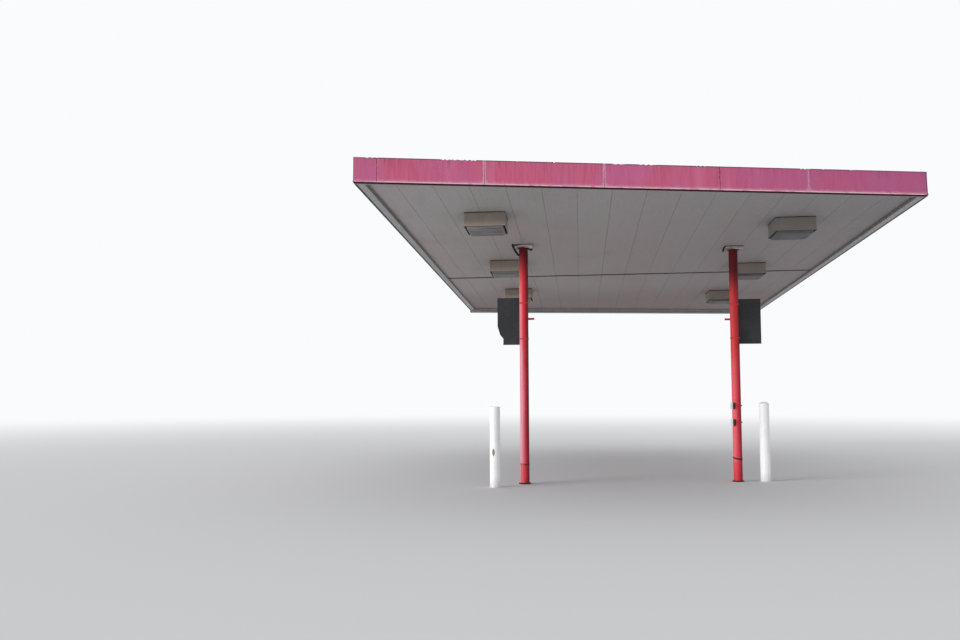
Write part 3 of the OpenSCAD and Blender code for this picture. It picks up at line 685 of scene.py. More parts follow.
def roof_felt():
    """Black felt, wet patches and grit; a seam where the part of a roll is near 0 or 1."""
    f = Finish("roof_felt")
    x, _, _ = f.split(f.level_roof())
    grit = f.noise(420, 2, 0.6)
    cloud = f.noise(0.9, 5, 0.62)
    wet = f.noise(1.0, 4, 0.6, f.stretch(0.6, 2.2, 1))
    color = f.blend((0.120, 0.118, 0.115), (0.185, 0.180, 0.172),
                    f.between(cloud, 0.36, 0.68))
    color = f.blend(color, (0.070, 0.068, 0.066), f.between(wet, 0.55, 0.72) * 0.6)
    color = f.blend(color, (0.32, 0.31, 0.29), f.between(grit, 0.54, 0.68) * 0.5)
    lap = (x - FELT_LAP) / FELT_ROLL + f.noise(6, 2) * 0.004
    beside = lap - lap.floor()
    seam = f.between(beside, 0.955, 0.990) + f.between(beside, 0.012, 0.004)
    color = f.blend(color, (0.035, 0.034, 0.034), seam * 0.8)
    return f.done(color, 0.82 + 0.1 * grit, grit * 0.5 + f.noise(3, 4) * 1.6, 0.003)


ROOF_FELT = roof_felt()
print("made", ROOF_FELT.name)

# %% [markdown]
# The small parts get their finishes last: zinc screws that have begun to rust, sealant
# that was white and is stained pink by the paint behind it, pale plastic covers, dark
# foam, and the rusty strap on the left post. All but the zinc are the recipe for aged
# steel with other numbers, because age leaves the same layers on them.


# %% Finishes of small parts
def zinc_fixing():
    """Zinc to rust where a cloudy noise is high, with dark grains over both."""
    f = Finish("zinc_fixing")
    cloud = f.noise(30, 5, 0.65)
    fine = f.noise(140, 3, 0.6)
    color = f.blend((0.20, 0.20, 0.205), (0.15, 0.085, 0.055), f.between(cloud, 0.515, 0.625))
    color = f.blend(color, (0.050, 0.030, 0.022), f.between(fine, 0.54, 0.70) * 0.5)
    return f.done(color, 0.50 + 0.35 * cloud, cloud * 0.6 + fine * 0.4, 0.0012, Metallic=0.3)


ZINC_FIXING = zinc_fixing()
WHITE_SEALANT = aged_paint("white_sealant", (0.68, 0.44, 0.53), (0.58, 0.27, 0.37),
                           (0.50, 0.26, 0.34), (0.50, 0.16, 0.24), 0.50, 0.60, 0.75)
WHITE_COVER = aged_paint("white_cover", (0.70, 0.70, 0.685), (0.60, 0.59, 0.575),
                         (0.36, 0.33, 0.30), (0.16, 0.12, 0.10), 0.45, 0.68, 0.45)
DARK_GASKET = aged_paint("dark_gasket", (0.022, 0.019, 0.019), (0.036, 0.031, 0.030),
                         (0.07, 0.058, 0.052), (0.03, 0.028, 0.027), 0.30, 0.66, 0.85,
                         Specular_IOR_Level=0.15)
STRAP_RUST = aged_paint("strap_rust", (0.125, 0.055, 0.042), (0.085, 0.036, 0.030),
                        (0.050, 0.024, 0.022), (0.20, 0.085, 0.045), 0.50, 0.62, 0.75,
                        marks=half_red, Specular_IOR_Level=0.15)
print("made", len(bpy.data.materials), "finishes")

# %% [markdown]
# The solids whose shape is already right keep it and only take their finish. Each name
# of a node ends in a word that tells its kind, so a short list of endings is enough.

# %% Dress the solids
ENDINGS = [("post", POST_PAINT), ("collar", COLLAR_PAINT), ("fascia", FASCIA_PAINT),
           ("edge_trim", TRIM_PAINT), ("rear_trim", TRIM_PAINT), ("soffit", SOFFIT_PAINT),
           ("soffit_joint", JOINT_SHADE_AND_GRIME), ("light", HOUSING_PAINT), ("lens", LENS_PLASTIC),
           ("plate_arm", ARM_PAINT), ("plate", PLATE_BLACK), ("outlet_box", BOX_PAINT),
           ("bollard", BOLLARD_PAINT), ("roof_covering", ROOF_FELT), ("roof_deck", DECK_STEEL),
           ("front_beam", EDGE_STEEL), ("", PRIMER)]
for name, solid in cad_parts.items():
    paint = next(finish for ending, finish in ENDINGS if name.endswith(ending))
    for material_slot in solid.material_slots:
        material_slot.material = paint
print("dressed", len(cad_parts), "solids")

# %% [markdown]
# Finer pieces are surfaces worked out as whole numpy arrays. Most of them are a closed
# ring of points carried along a path, so one method joins such rings, and closes the two
# ends or joins the last ring to the first. The volume that a closed part encloses tells
# which way its faces look: if it comes out negative, every face is turned over.


# %% Pieces made of closed parts
class Piece:
    """Closed parts that share one mesh and one finish."""

    def __init__(self, name):
        self.name, self.points, self.faces, self.count = name, [], [], 0

    def add(self, points, groups):
        """Adds a part; six times its volume is the sum of a . (b x c) over its triangles."""
        points = np.asarray(points, float).reshape(-1, 3)
        local = points - points.mean(axis=0)
        volume = 0.0
        for group in groups:
            fan = local[group]
            volume += np.sum(fan[:, :1] * np.cross(fan[:, 1:-1], fan[:, 2:]))
        for group in groups:
            outward = group if volume > 0 else group[:, ::-1]
            self.faces += (outward + self.count).tolist()
        self.points.append(points)
        self.count += len(points)

    def sweep(self, rings, loop=False):
        """Joins each ring to the next one; rings holds (stations, around, 3) numbers."""
        rings = np.asarray(rings, float)
        index = np.arange(rings.shape[0] * rings.shape[1]).reshape(rings.shape[:2])
        here, there = (index, np.roll(index, -1, axis=0)) if loop else (index[:-1], index[1:])
        sides = np.stack([here, np.roll(here, -1, axis=1),
                          np.roll(there, -1, axis=1), there], axis=-1)
        groups = [sides.reshape(-1, 4)]
        if not loop:
            groups += [index[:1, ::-1], index[-1:]]
        self.add(rings, groups)

    def make(self, paint, slot, *nodes, sharp=32):
        mesh = bpy.data.meshes.new(self.name)
        mesh.from_pydata(np.concatenate(self.points).tolist(), [], self.faces)
        mesh.materials.append(paint)
        mesh.shade_smooth()
        mesh.set_sharp_from_angle(angle=math.radians(sharp))
        made = bpy.data.objects.new(self.name, mesh)
        bpy.context.scene.collection.objects.link(made)
        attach(made, "root")
        if nodes:
            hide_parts(*nodes)
        print(self.name, "has", len(self.faces), "faces")
        return made


def waves(place, length, seed):
    """A smooth wandering value from -1 to 1: the mean of seven sines of chance pitch."""
    chance = np.random.default_rng(seed)
    pitch = 2 * np.pi / (length * chance.uniform(0.5, 1.9, 7))
    sines = np.sin(np.multiply.outer(place, pitch) + chance.uniform(0, 6.3, 7))
    return sines.mean(axis=-1) * 1.7


def turned(profile, centre, axis=(0, 0, 1), around=24):
    """A profile of (radius, height) turned about an axis W: c + r (cos t U + sin t V) + h W."""
    radius, height = np.asarray(profile, float).T[:, :, None, None]
    w = np.asarray(axis, float) / np.linalg.norm(axis)
    u = np.cross(w, (0.0, 1.0, 0.0) if abs(w[1]) < 0.9 else (1.0, 0.0, 0.0))
    u /= np.linalg.norm(u)
    t = np.linspace(0, 2 * np.pi, around, endpoint=False)[:, None]
    ring = np.cos(t) * u + np.sin(t) * np.cross(w, u)
    return np.asarray(centre) + radius * ring + height * w


def tube(path, radius, around=8, flat=1.0, up=(0, 0, 1)):
    """Ellipses across a path: p + r (cos t N + flat sin t B), N and B square to the path."""
    path = np.asarray(path, float)
    ahead = np.gradient(path, axis=0)
    ahead /= np.linalg.norm(ahead, axis=1, keepdims=True)
    side = np.cross(ahead, up)
    side /= np.linalg.norm(side, axis=1, keepdims=True)
    t = np.linspace(0, 2 * np.pi, around, endpoint=False)[:, None]
    ring = np.cos(t) * side[:, None] + flat * np.sin(t) * np.cross(side, ahead)[:, None]
    return path[:, None] + np.broadcast_to(radius, len(path))[:, None, None] * ring


def bent(corners, steps=24):
    """A smooth path near a few corners: each coordinate is a polynomial through them."""
    corners = np.asarray(corners, float)
    knots = np.linspace(0, 1, len(corners))
    powers = np.vander(knots, len(corners))
    return np.vander(np.linspace(0, 1, steps), len(corners)) @ np.linalg.solve(powers, corners)


print("pieces can be swept, turned and bent")

# %% [markdown]
# The fascia is thin sheet with a rounded hem along its foot, so its section is a closed
# outline of (out, up) points. The sheets are never quite flat: wandering values push the
# face in by a millimetre or two. Grooves show where two sheets meet, and along the front
# the top edge is nicked where water has got behind it. A nick is written as its start,
# its end and its depth in steps of 1.6 mm. Bump alone would show the waves, but not the
# ragged outline of the top edge.

# %% Fascia section
SECTION = np.array([
    (-0.0030, 0.3122), (-0.0029, 0.3146), (-0.0008, 0.3148), (0.0, 0.3136), (0.0, 0.3020),
    (0.0, 0.2700), (0.0, 0.2300), (0.0, 0.1900), (0.0, 0.1500), (0.0, 0.1100), (0.0, 0.0750),
    (0.0, 0.0450), (0.0, 0.0310), (0.0003, 0.0290), (0.0022, 0.0279), (0.0045, 0.0268),
    (0.0058, 0.0245), (0.0060, 0.0215), (0.0057, 0.0180), (0.0044, 0.0153), (0.0024, 0.0140),
    (-0.0030, 0.0140), (-0.0030, 0.0700), (-0.0030, 0.1700), (-0.0030, 0.2700)])
NICKS = np.array([(-1.60, -1.555, 4), (-1.525, -1.470, 6), (-0.725, -0.310, 9),
                  (0.110, 0.160, 4), (0.560, 0.610, 5), (1.290, 1.450, 6), (1.630, 1.820, 7),
                  (2.300, 2.420, 5), (3.610, 3.740, 7), (3.915, 3.955, 5), (4.230, 4.280, 5)])
NICK_STEP, NICK_MOST = 0.0016, 0.0102
HEM_OUT, FOLD_UP, TOP_UP = 0.006, 0.030, 0.3115
GROOVE_HALF, GROOVE_DEPTH = 0.002, 0.0016


def inside(place, spans, soft=0.012):
    """How far places lie inside spans: each span fades in and out over a soft distance."""
    low, high = np.asarray(spans, float)[:, :2].T
    gap = np.minimum(place[:, None] - low, high - place[:, None])
    return np.clip(gap / soft + 0.5, 0, 1)


def nick_depth(x):
    """Depth of the nicks in metres: the span's depth times a fast wandering value."""
    chop = np.clip(waves(x, 0.045, 5) * 1.3 + waves(x, 0.012, 6) * 0.5 + 0.35, 0, 1)
    depth = (inside(x, NICKS) * NICKS[:, 2]).max(axis=1) * NICK_STEP * chop
    return np.minimum(depth, NICK_MOST)


def fascia_section(along, joints, seed):
    """Section for each station: the face moves in by waves, and by 1.6 mm in a joint."""
    out = np.repeat(SECTION[None, :, 0], len(along), axis=0)
    up = np.repeat(SECTION[None, :, 1], len(along), axis=0)
    belly = np.clip(np.minimum(up - FOLD_UP, 0.310 - up) / 0.06, 0, 1)
    dent = (1 + waves(along, 0.55, seed))[:, None] * 0.0011 * belly
    dent += np.abs(waves(along, 0.16, seed + 1))[:, None] * 0.0006 * belly
    hem = (out > 0.0001) * (1 + waves(along, 0.11, seed + 2))[:, None] * 0.0007
    from_joint = np.abs(along[:, None] - joints).min(axis=1)[:, None]
    groove = (from_joint < GROOVE_HALF) * GROOVE_DEPTH
    return out - dent - hem * (out / HEM_OUT) - groove * (out > -0.002), up


print("section has", len(SECTION), "points, the top edge", len(NICKS), "nicks")

# %% [markdown]
# The section is carried along the front edge through many stations. They stand close
# together at a joint or a nick and far apart elsewhere, so faces are spent where they
# show. A flat flashing behind the top edge laps onto the felt, and sags with each nick.


# %% Front fascia
def stations(low, high, step, joints, fine=()):
    """Even stations, two pairs at each joint, and close ones where a span asks for them."""
    sets = [np.linspace(low, high, int((high - low) / step) + 2)]
    pairs = np.array([-1.10, -0.95, 0.95, 1.10]) * GROOVE_HALF
    sets += [joint + pairs for joint in joints]
    sets += [np.arange(start, end, 0.004) for start, end, _ in fine]
    return np.unique(np.clip(np.concatenate(sets), low, high).round(5))


x = stations(LEFT_X, RIGHT_X, 0.04, FRONT_JOINTS, NICKS)
out, up = fascia_section(x, FRONT_JOINTS, 11)
up = up - (up > TOP_UP) * nick_depth(x)[:, None]
front_skin = Piece("front_fascia_sheets")
front_skin.sweep(on_roof(x[:, None], front_y(x[:, None], -out), up))
FLASHING = np.array([(0.0025, 0.3121), (0.0025, 0.3147), (0.030, 0.3150), (0.060, 0.3146),
                     (0.060, 0.3121)])
x = stations(LEFT_X, RIGHT_X, 0.06, FRONT_JOINTS, NICKS)[:, None]
sag = 0.0006 * (1 + waves(x[:, 0], 0.3, 21))[:, None] + 0.8 * nick_depth(x[:, 0])[:, None]
front_skin.sweep(on_roof(x, front_y(x, FLASHING[:, 0]), FLASHING[:, 1] - sag))
front_skin.make(FASCIA_PAINT, "fascia_sheet", "front_fascia")

# %% [markdown]
# The side fascias have the same section. Both ends are cut at a slant, so each station
# is a share of the way from the front edge to the rear edge, and every point of the
# section starts and ends on those edges.


# %% Side fascias
def side_skin(name, side, seed):
    """Side fascia: the same section at x = edge + side * out, from front to rear edge."""
    skin = Piece(name)
    edge = LEFT_X if side < 0 else RIGHT_X
    joints = np.arange(rear_y(edge) - 1.44, front_y(edge) + 0.2, -1.44)
    y = stations(front_y(edge), rear_y(edge), 0.05, joints)
    out, up = fascia_section(y, joints, seed)
    share = ((y - y[0]) / (y[-1] - y[0]))[:, None]
    x = edge + side * out
    start = front_y(x, np.where(out > 0.0001, -0.006, 0.0031))
    skin.sweep(on_roof(x, start + share * (rear_y(x) - start), up))
    x = edge - side * FLASHING[:, 0]
    share = np.linspace(0, 1, 160)[:, None]
    start, end = front_y(x, 0.0605), rear_y(x, 0.008)
    sag = 0.0006 * (1 + waves(share[:, 0], 0.03, seed + 9))[:, None]
    skin.sweep(on_roof(x, start + share * (end - start), FLASHING[:, 1] - sag))
    skin.make(FASCIA_PAINT, "fascia_sheet", name.replace("_sheets", ""))


side_skin("left_fascia_sheets", -1, 31)
side_skin("right_fascia_sheets", 1, 41)

# %% [markdown]
# The joints of the front fascia were smeared with sealant long ago. Most have gone pale
# and chalky, two of them in ragged double lines, and one is only a dark seam. Each smear
# is a thin flat tube up the face whose width wanders, because paint alone would not
# stand out from the sheet. Lumps of the same stuff, and of black mastic, lie along the
# nicked parts of the top edge.

# %% Sealant on the fascia


def smear(piece, x, low, high, width, seed):
    """A flat tube up the face at x: the half width is width times a wandering value."""
    up = np.linspace(low, high, 90)
    at = x + waves(up, 0.08, seed) * 0.0042
    half = width * np.clip(0.62 + waves(up, 0.045, seed + 1) * 0.45, 0.10, 1)
    turn = np.linspace(0, 2 * np.pi, 8, endpoint=False)
    across = at[:, None] + half[:, None] * np.cos(turn)
    out = 0.0011 * np.sin(turn) + 0.0002
    piece.sweep(on_roof(across, front_y(across, 0.0009 - out), up[:, None]))


def lumps(piece, low, high, thick, seed):
    """A lumpy bead behind the top edge: its radius swells and shrinks along x."""
    x = np.arange(low, high, 0.004)
    fade = np.minimum(1, np.minimum(x - low, high - x) / 0.02 + 0.15)
    radius = thick * fade * np.clip(0.6 + waves(x, 0.035, seed) * 0.6, 0.2, 1.2)
    dip = 0.3118 + waves(x, 0.05, seed + 1) * 0.0012 - nick_depth(x) * 0.6
    path = on_roof(x, front_y(x, 0.0005), dip - radius * 0.25)
    piece.sweep(tube(path, radius))


white, dark = Piece("white_sealant"), Piece("dark_sealant")
for number, (x, width, tone) in enumerate([
        (FRONT_JOINTS[0], 0.0035, dark), (FRONT_JOINTS[0] + 0.012, 0.0030, white),
        (FRONT_JOINTS[1] - 0.012, 0.006, white),
        (FRONT_JOINTS[1] + 0.011, 0.0045, white), (FRONT_JOINTS[2] - 0.011, 0.0045, white),
        (FRONT_JOINTS[2] + 0.010, 0.006, white), (FRONT_JOINTS[3], 0.0045, dark),
        (FRONT_JOINTS[4], 0.005, white)]):
    smear(tone, x, 0.031, 0.311, width, 50 + 3 * number)
PALE_NICKS = (0, 2, 5, 6, 8)
for number, (low, high) in enumerate(NICKS[:, :2]):
    lumps(white if number in PALE_NICKS else dark, low, high, 0.0062, 80 + 2 * number)
lumps(dark, -0.62, -0.36, 0.0042, 120)
lumps(dark, 1.66, 1.75, 0.0040, 124)
white.make(WHITE_SEALANT, "fascia_sheet", sharp=60)
dark.make(DARK_GASKET, "fascia_sheet", sharp=60)

# %% [markdown]
# Each light is a box housing with a drop lens below. The housing's solid is right, so it
# stays. The lens becomes a thin moulded dish: squares with round corners, one for each
# step of its section, from the middle of the inside over the rim to the middle of the
# outside. A hollowed box would do as well, but rings give the wall and its round corners
# at once. Fine half-round ribs run across its underside, and four hangers hold it.

# %% Lens dishes
DISH = np.array([
    (0.010, 0.009, 0.0040), (0.120, 0.012, 0.0042), (0.222, 0.014, 0.0052),
    (0.2355, 0.016, 0.0105), (0.2405, 0.018, 0.0220), (0.2425, 0.018, 0.0500),
    (0.2435, 0.018, 0.0860), (0.2445, 0.019, 0.0895), (0.2465, 0.021, 0.0898),
    (0.2475, 0.022, 0.0870), (0.2465, 0.022, 0.0420), (0.2450, 0.022, 0.0200),
    (0.2400, 0.021, 0.0085), (0.2320, 0.020, 0.0030), (0.2200, 0.018, 0.0010),
    (0.1200, 0.012, 0.0004), (0.0100, 0.009, 0.0002)])


def squares(half, corner, around=32):
    """Squares with arcs for corners: (half - r) sign(cos t) + r cos t, and so for sine."""
    t = (np.arange(around) + 0.5) * 2 * np.pi / around
    half, corner = (np.asarray(value, float)[..., None] for value in (half, corner))
    return [(half - corner) * np.sign(turn) + corner * turn for turn in (np.cos(t), np.sin(t))]


def lens_dish(name, x, y):
    """The rows of DISH are half side, corner radius and height above the lens's foot."""
    dish = Piece(name + "_lens_dish")
    half, corner, up = DISH.T
    across, along = squares(half, corner)
    dish.sweep(on_roof(x + across, y + along, LENS_Z + up[:, None]))
    turn = np.linspace(0, 2 * np.pi, 8, endpoint=False)
    ends = np.array([-0.214, -0.211, 0.211, 0.214])[:, None]
    size = np.array([0.15, 1.0, 1.0, 0.15])[:, None]
    for offset in np.linspace(-0.207, 0.207, 24):
        rib = y + offset + 0.0042 * np.cos(turn) * size
        dish.sweep(on_roof(x + ends, rib, LENS_Z + 0.0012 + 0.0012 * np.sin(turn) * size))
    for sx in (-0.225, 0.225):
        for sy in (-0.225, 0.225):
            foot = on_roof(x + sx, y + sy, LENS_Z + 0.0240)
            dish.sweep(turned([(0.004, 0.0), (0.004, 0.200)], foot, around=8))
    dish.make(LENS_PLASTIC, "lens_plastic", name + "_lens", sharp=40)


print("a dish has", len(DISH), "rings")

# %% [markdown]
# A dark foam gasket fills the line between each housing and the soffit. Its path is the
# housing's outline, cut into short steps so that its outer edge can bulge unevenly, as
# squeezed foam does. Two small screws hold each side of the housing.


# %% Gaskets and screws of the lights
def light_gasket(name, x, y, seed):
    """A loop of four-sided rings, from just inside the housing to 4 mm outside it."""
    gasket = Piece(name + "_light_gasket")
    ring = np.stack(squares(HOUSING_HALF, 0.003, 40), axis=-1)
    ring = np.concatenate([ring, ring[:1]])
    path = np.concatenate([np.linspace(a, b, 14, endpoint=False)
                           for a, b in zip(ring, ring[1:]) if np.hypot(*(b - a)) > 0.1])
    beat = np.arange(len(path)) * 0.02
    bulge = 1 + (0.0042 + 0.0010 * waves(beat, 0.2, seed)) / HOUSING_HALF
    inner, outer = path * 0.992, path * bulge[:, None]
    low = PAN_Z - 0.0045 + 0.0008 * waves(beat, 0.15, seed + 1)
    high = np.full(len(path), PAN_Z - 0.0002)
    loop = np.stack([inner, inner, outer, outer], axis=1)
    gasket.sweep(on_roof(x + loop[..., 0], y + loop[..., 1],
                         np.stack([high, low, low, high], axis=1)), loop=True)
    gasket.make(DARK_GASKET, "light_housing", sharp=50)


def light_screws(name, x, y):
    """Two heads on each side, 210 mm left and right of its middle."""
    screws = Piece(name + "_light_screws")
    head = [(0.0055, -0.001), (0.0052, 0.0012), (0.0038, 0.0026), (0.0012, 0.0031)]
    for sx, sy in ((0, -1), (0, 1), (-1, 0), (1, 0)):
        for offset in (-0.21, 0.21):
            place = on_roof(x + HOUSING_HALF * sx + offset * abs(sy),
                            y + HOUSING_HALF * sy + offset * abs(sx), PAN_Z - 0.022)
            screws.sweep(turned(head, place, (sx, sy, 0), 10))
    screws.make(ZINC_FIXING, "light_housing")


for number, (name, (x, y)) in enumerate(LIGHTS.items()):
    lens_dish(name, x, y)
    light_gasket(name, x, y, 200 + 4 * number)
    light_screws(name, x, y)

# %% [markdown]
# A tray of thin sheet hides the opening round each post. Its section goes round in a
# closed loop: outer wall, underside, edge of the round hole, and back inside. The left
# tray has lost part of its front left corner. Instead of cutting it off, the rings there
# are pulled up and in, which keeps the surface closed, and the right tray's a quarter as
# much.

# %% Collar trays
TRAY = np.array([
    (0.1500, 0.0040, -0.0003), (0.1500, 0.0050, -0.0200), (0.1500, 0.0060, -0.0385),
    (0.1485, 0.0060, -0.0416), (0.1440, 0.0080, -0.0420), (0.1150, 0.0300, -0.0424),
    (0.0790, 0.0790, -0.0422), (0.0772, 0.0772, -0.0414), (0.0772, 0.0772, -0.0400),
    (0.0790, 0.0790, -0.0394), (0.1150, 0.0300, -0.0394), (0.1430, 0.0080, -0.0390),
    (0.1470, 0.0060, -0.0360), (0.1472, 0.0040, -0.0003)])


def tray(x, y, seed, hurt):
    """The rows of TRAY are half side, corner radius and height against the soffit."""
    half, corner, level = TRAY.T
    across, along = squares(half, corner, 64)
    reach, bearing = np.hypot(across, along), np.arctan2(along, across)
    free = np.clip(-level / 0.042, 0, 1)[:, None] * np.clip((reach - 0.09) / 0.06, 0, 1)
    warp = 0.0035 * waves(bearing * 0.1, 0.12, seed) * free
    pull = np.clip(1 - np.hypot(across + 0.15, along + 0.15) / 0.11, 0, 1) * free * hurt
    edge = np.clip(along * -9, 0, 1) * free * 0.004 * waves(across, 0.12, seed + 1)
    up = PAN_Z + level[:, None] + np.abs(warp) + 0.034 * pull + np.abs(edge)
    return on_roof(x + across + 0.070 * pull, y + along + 0.045 * pull, up)


for name, seed, hurt in (("left", 301, 1.0), ("right", 305, 0.25)):
    collar = Piece(name + "_collar_tray")
    collar.sweep(tray(*POSTS[name], seed, hurt), loop=True)
    collar.make(COLLAR_PAINT, "collar_sheet", name + "_collar")

# %% [markdown]
# Strips torn from the left tray hang down beside the post, one of them against it, and
# the right tray has one short flap. A strip is a flattened tube along a smooth path near
# four corners, which reads as stiff torn sheet without a simulation.

# %% Torn strips
STRIPS = [
    ([(-0.158, -0.146, 3.750), (-0.152, -0.148, 3.712), (-0.118, -0.105, 3.648),
      (-0.070, -0.040, 3.592)], 0.0175, 0.70, (0.3, 1, 0)),
    ([(0.070, -0.110, 3.705), (0.084, -0.122, 3.684), (0.108, -0.128, 3.668),
      (0.146, -0.124, 3.668)], np.linspace(0.007, 0.0150, 24), 0.70, (0, 1, 0)),
    ([(3.212, 0.446, 3.742), (3.192, 0.444, 3.722), (3.180, 0.442, 3.690),
      (3.174, 0.440, 3.656)], 0.0120, 0.45, (0.2, 1, 0))]
torn = Piece("torn_collar_strips")
for corners, half, flat, up in STRIPS:
    torn.sweep(tube(bent(corners), half, 8, flat, up))
torn.make(DARK_GASKET, "collar_sheet", sharp=60)

# %% [markdown]
# Each post is welded to a round base and has one strap low down, a rusty one on the left
# and a dark one on the right. A weld is a bead whose radius swells at every pass of the
# torch. A strap is the outline of its section carried round the post, and it sags a
# little to one side. Small as they are, both catch light that a plain pipe doesn't.

# %% Welds and straps


def weld(piece, path, size, seed, loop=False):
    """A bead along a path: radius = size * (0.85 + ripple), a ripple every few mm."""
    beat = np.arange(len(path)) * 1.0
    ripple = 0.15 * np.cos(beat * 1.9) + 0.12 * waves(beat, 9, seed)
    piece.sweep(tube(path, size * (0.85 + ripple), 6), loop)


def hoop(x, y, z, radius):
    """A level circle: x + r cos t, y + r sin t."""
    t = np.linspace(0, 2 * np.pi, 96, endpoint=False)
    return np.stack([x + radius * np.cos(t), y + radius * np.sin(t), z + 0 * t], axis=-1)


def strap(piece, x, y, z, height, thick, sag):
    """A band round a post: its section carried round a circle, lower on one side by sag."""
    t = np.linspace(0, 2 * np.pi, 64, endpoint=False)[:, None]
    out = np.array([0.0002, thick * 0.8, thick, thick, thick * 0.8, 0.0002]) + POST_R
    up = np.array([-0.5, -0.5, -0.42, 0.42, 0.5, 0.5]) * height
    level = z + up - sag * np.cos(t + 0.6)
    piece.sweep(np.stack([x + out * np.cos(t), y + out * np.sin(t), level], -1), loop=True)


welds = Piece("post_welds")
for number, (x, y) in enumerate(POSTS.values()):
    weld(welds, hoop(x, y, 0.0175, POST_R + 0.0015), 0.0045, 320 + number, True)
welds.make(POST_PAINT, "post_paint", sharp=70)
straps = Piece("post_straps")
strap(straps, *POSTS["left"], 0.306, 0.026, 0.0022, 0.004)
straps.make(STRAP_RUST, "structural_steel")
dark_strap = Piece("dark_strap")
strap(dark_strap, *POSTS["right"], 0.366, 0.024, 0.0035, 0.014)
dark_strap.make(DARK_GASKET, "structural_steel")

# %% [markdown]
# The black plates beside the posts are held by round-headed screws into the strap behind
# them, and hexagon bolts close the bands round the posts. Heads are short profiles that
# are turned about an axis square to the sheet.

# %% Plate screws and band bolts
PLATE_TOP = {"left": 2.924, "right": 2.914}
PLATE_LOW = {"left": 2.924 - 0.748, "right": 2.914 - 0.726}
BAND_INSET, SCREW_INSET, STRAP_OUT = 0.092, 0.25, 0.0947
ROUND_HEAD = [(0.0085, -0.001), (0.0080, 0.0016), (0.0058, 0.0035), (0.0015, 0.0042)]
HEXAGON_HEAD = [(0.006, 0), (0.006, 0.004), (0.004, 0.006)]


def plate_fixings(name, side):
    """Side is -1 for a plate to the left of its post, and 1 for one to the right."""
    x, y = POSTS[name]
    top, low = PLATE_TOP[name], PLATE_LOW[name]
    screws = Piece(name + "_plate_screws")
    for z in (top - BAND_INSET, low + BAND_INSET, top - SCREW_INSET, low + SCREW_INSET):
        place = (x + side * STRAP_OUT, y + POST_R - 0.003, z)
        screws.sweep(turned(ROUND_HEAD, place, (0, -1, 0), 14))
    screws.make(PLATE_BLACK, "plate_black")
    bolts = Piece(name + "_band_bolts")
    for z in (top - BAND_INSET, low + BAND_INSET):
        for turn in (0.9, 2.2):
            axis = np.array([-side * math.cos(turn), -math.sin(turn), 0.0])
            bolts.sweep(turned(HEXAGON_HEAD, (x, y, z) + (POST_R + 0.004) * axis, axis, 6))
    bolts.make(ARM_PAINT, "arm_paint")


plate_fixings("left", -1)
plate_fixings("right", 1)

# %% [markdown]
# The left plate has had its lower corner folded back out of the way, and the folded flap
# shows from behind. A modifier could bend it, but the fold runs at a slant. So it is a
# small sheet whose direction turns by 150 degrees on its way out from the fold line.

# %% The folded corner
PLATE_FAR = POST_R - 0.008 + 0.363


def folded_corner():
    """Sheet past a fold from B to C: B + s (C - B) + r(s) (cos a outward + sin a back)."""
    flap = Piece("folded_plate_corner")
    low = np.array([-(PLATE_FAR - 0.091), PLATE_LOW["left"] + 0.100])
    high = np.array([-PLATE_FAR, PLATE_LOW["left"] + 0.297])
    s = np.linspace(0.02, 0.98, 25)[:, None]
    fold = low + s * (high - low)
    reach = 0.105 * np.minimum(s / 0.35, (1 - s) / 0.65)
    angle = np.linspace(0, 1, 9) ** 0.5 * math.radians(150)
    outward, backward = np.cumsum(np.cos(angle)) / 9, np.cumsum(np.sin(angle)) / 9
    normal = np.array([low[1] - high[1], high[0] - low[0]])
    normal /= np.linalg.norm(normal)
    across = fold[:, :1] + reach * outward * normal[0]
    height = fold[:, 1:] + reach * outward * normal[1]
    back = POST_R - 0.0015 + reach * backward
    front = np.stack([across, back - 0.0012, height], axis=-1)
    behind = np.stack([across, back + 0.0012, height], axis=-1)
    flap.sweep(np.concatenate([front, behind[:, ::-1]], axis=1))
    flap.make(PLATE_BLACK, "plate_black")


folded_corner()

# %% [markdown]
# Two outlet boxes are banded to the right post. Each gets a pale cover with round
# corners, two flip lids over the sockets, a hinge rib for each lid, and three screws.
# The cover stands turned by 45 degrees, so its parts are laid out flat as (across, up,
# out) and the whole array is then turned and moved at once. The lower band ends in a
# clamp lug on the far side of the post.

# %% Outlet covers
OUTLETS_Z, BOX_FACE, COVER_SHIFT = (1.200, 0.935), 0.11465, 0.0095


def on_box(across, up, out, z):
    """Flat cover to place: out is along (-1, -1), across along (1, -1), both over root 2."""
    across, up, out = np.broadcast_arrays(across, up, out)
    reach = BOX_FACE + out
    return np.stack([POST_GAP + (across - reach) * math.sqrt(0.5),
                     POST_STEP - (across + reach) * math.sqrt(0.5), z + up], axis=-1)


covers = Piece("outlet_covers")
cover_screws = Piece("outlet_screws")
for z in OUTLETS_Z:
    scale, out = np.array([(1.0, 0.0002), (1.0, 0.0030), (0.965, 0.0046), (0.90, 0.0050)]).T
    across, up = squares(scale * 0.034, scale * 0.006)
    covers.sweep(on_box(across * 0.72 - COVER_SHIFT, up * 1.52, out[:, None], z))
    for lift in (-0.023, 0.023):
        scale, out = np.array([(1.0, 0.0045), (1.0, 0.0085), (0.93, 0.0105), (0.70, 0.0112)]).T
        across, up = squares(scale * 0.0195, scale * 0.009)
        covers.sweep(on_box(across - COVER_SHIFT, up + lift, out[:, None], z))
        rib = np.linspace(-0.017, 0.017, 12) - COVER_SHIFT
        hinge = on_box(rib, lift + 0.0205, 0.0080 + 0 * rib, z)
        covers.sweep(tube(hinge, 0.0024, 8))
    for up in (-0.047, 0.0, 0.047):
        spot = on_box(-COVER_SHIFT, up, 0.0045, z)
        cover_screws.sweep(turned([(0.0030, 0), (0.0028, 0.0012), (0.0012, 0.0018)], spot,
                                  (-1, -1, 0), 10))
covers.make(WHITE_COVER, "outlet_box")
lug = Piece("outlet_clamp_lug")
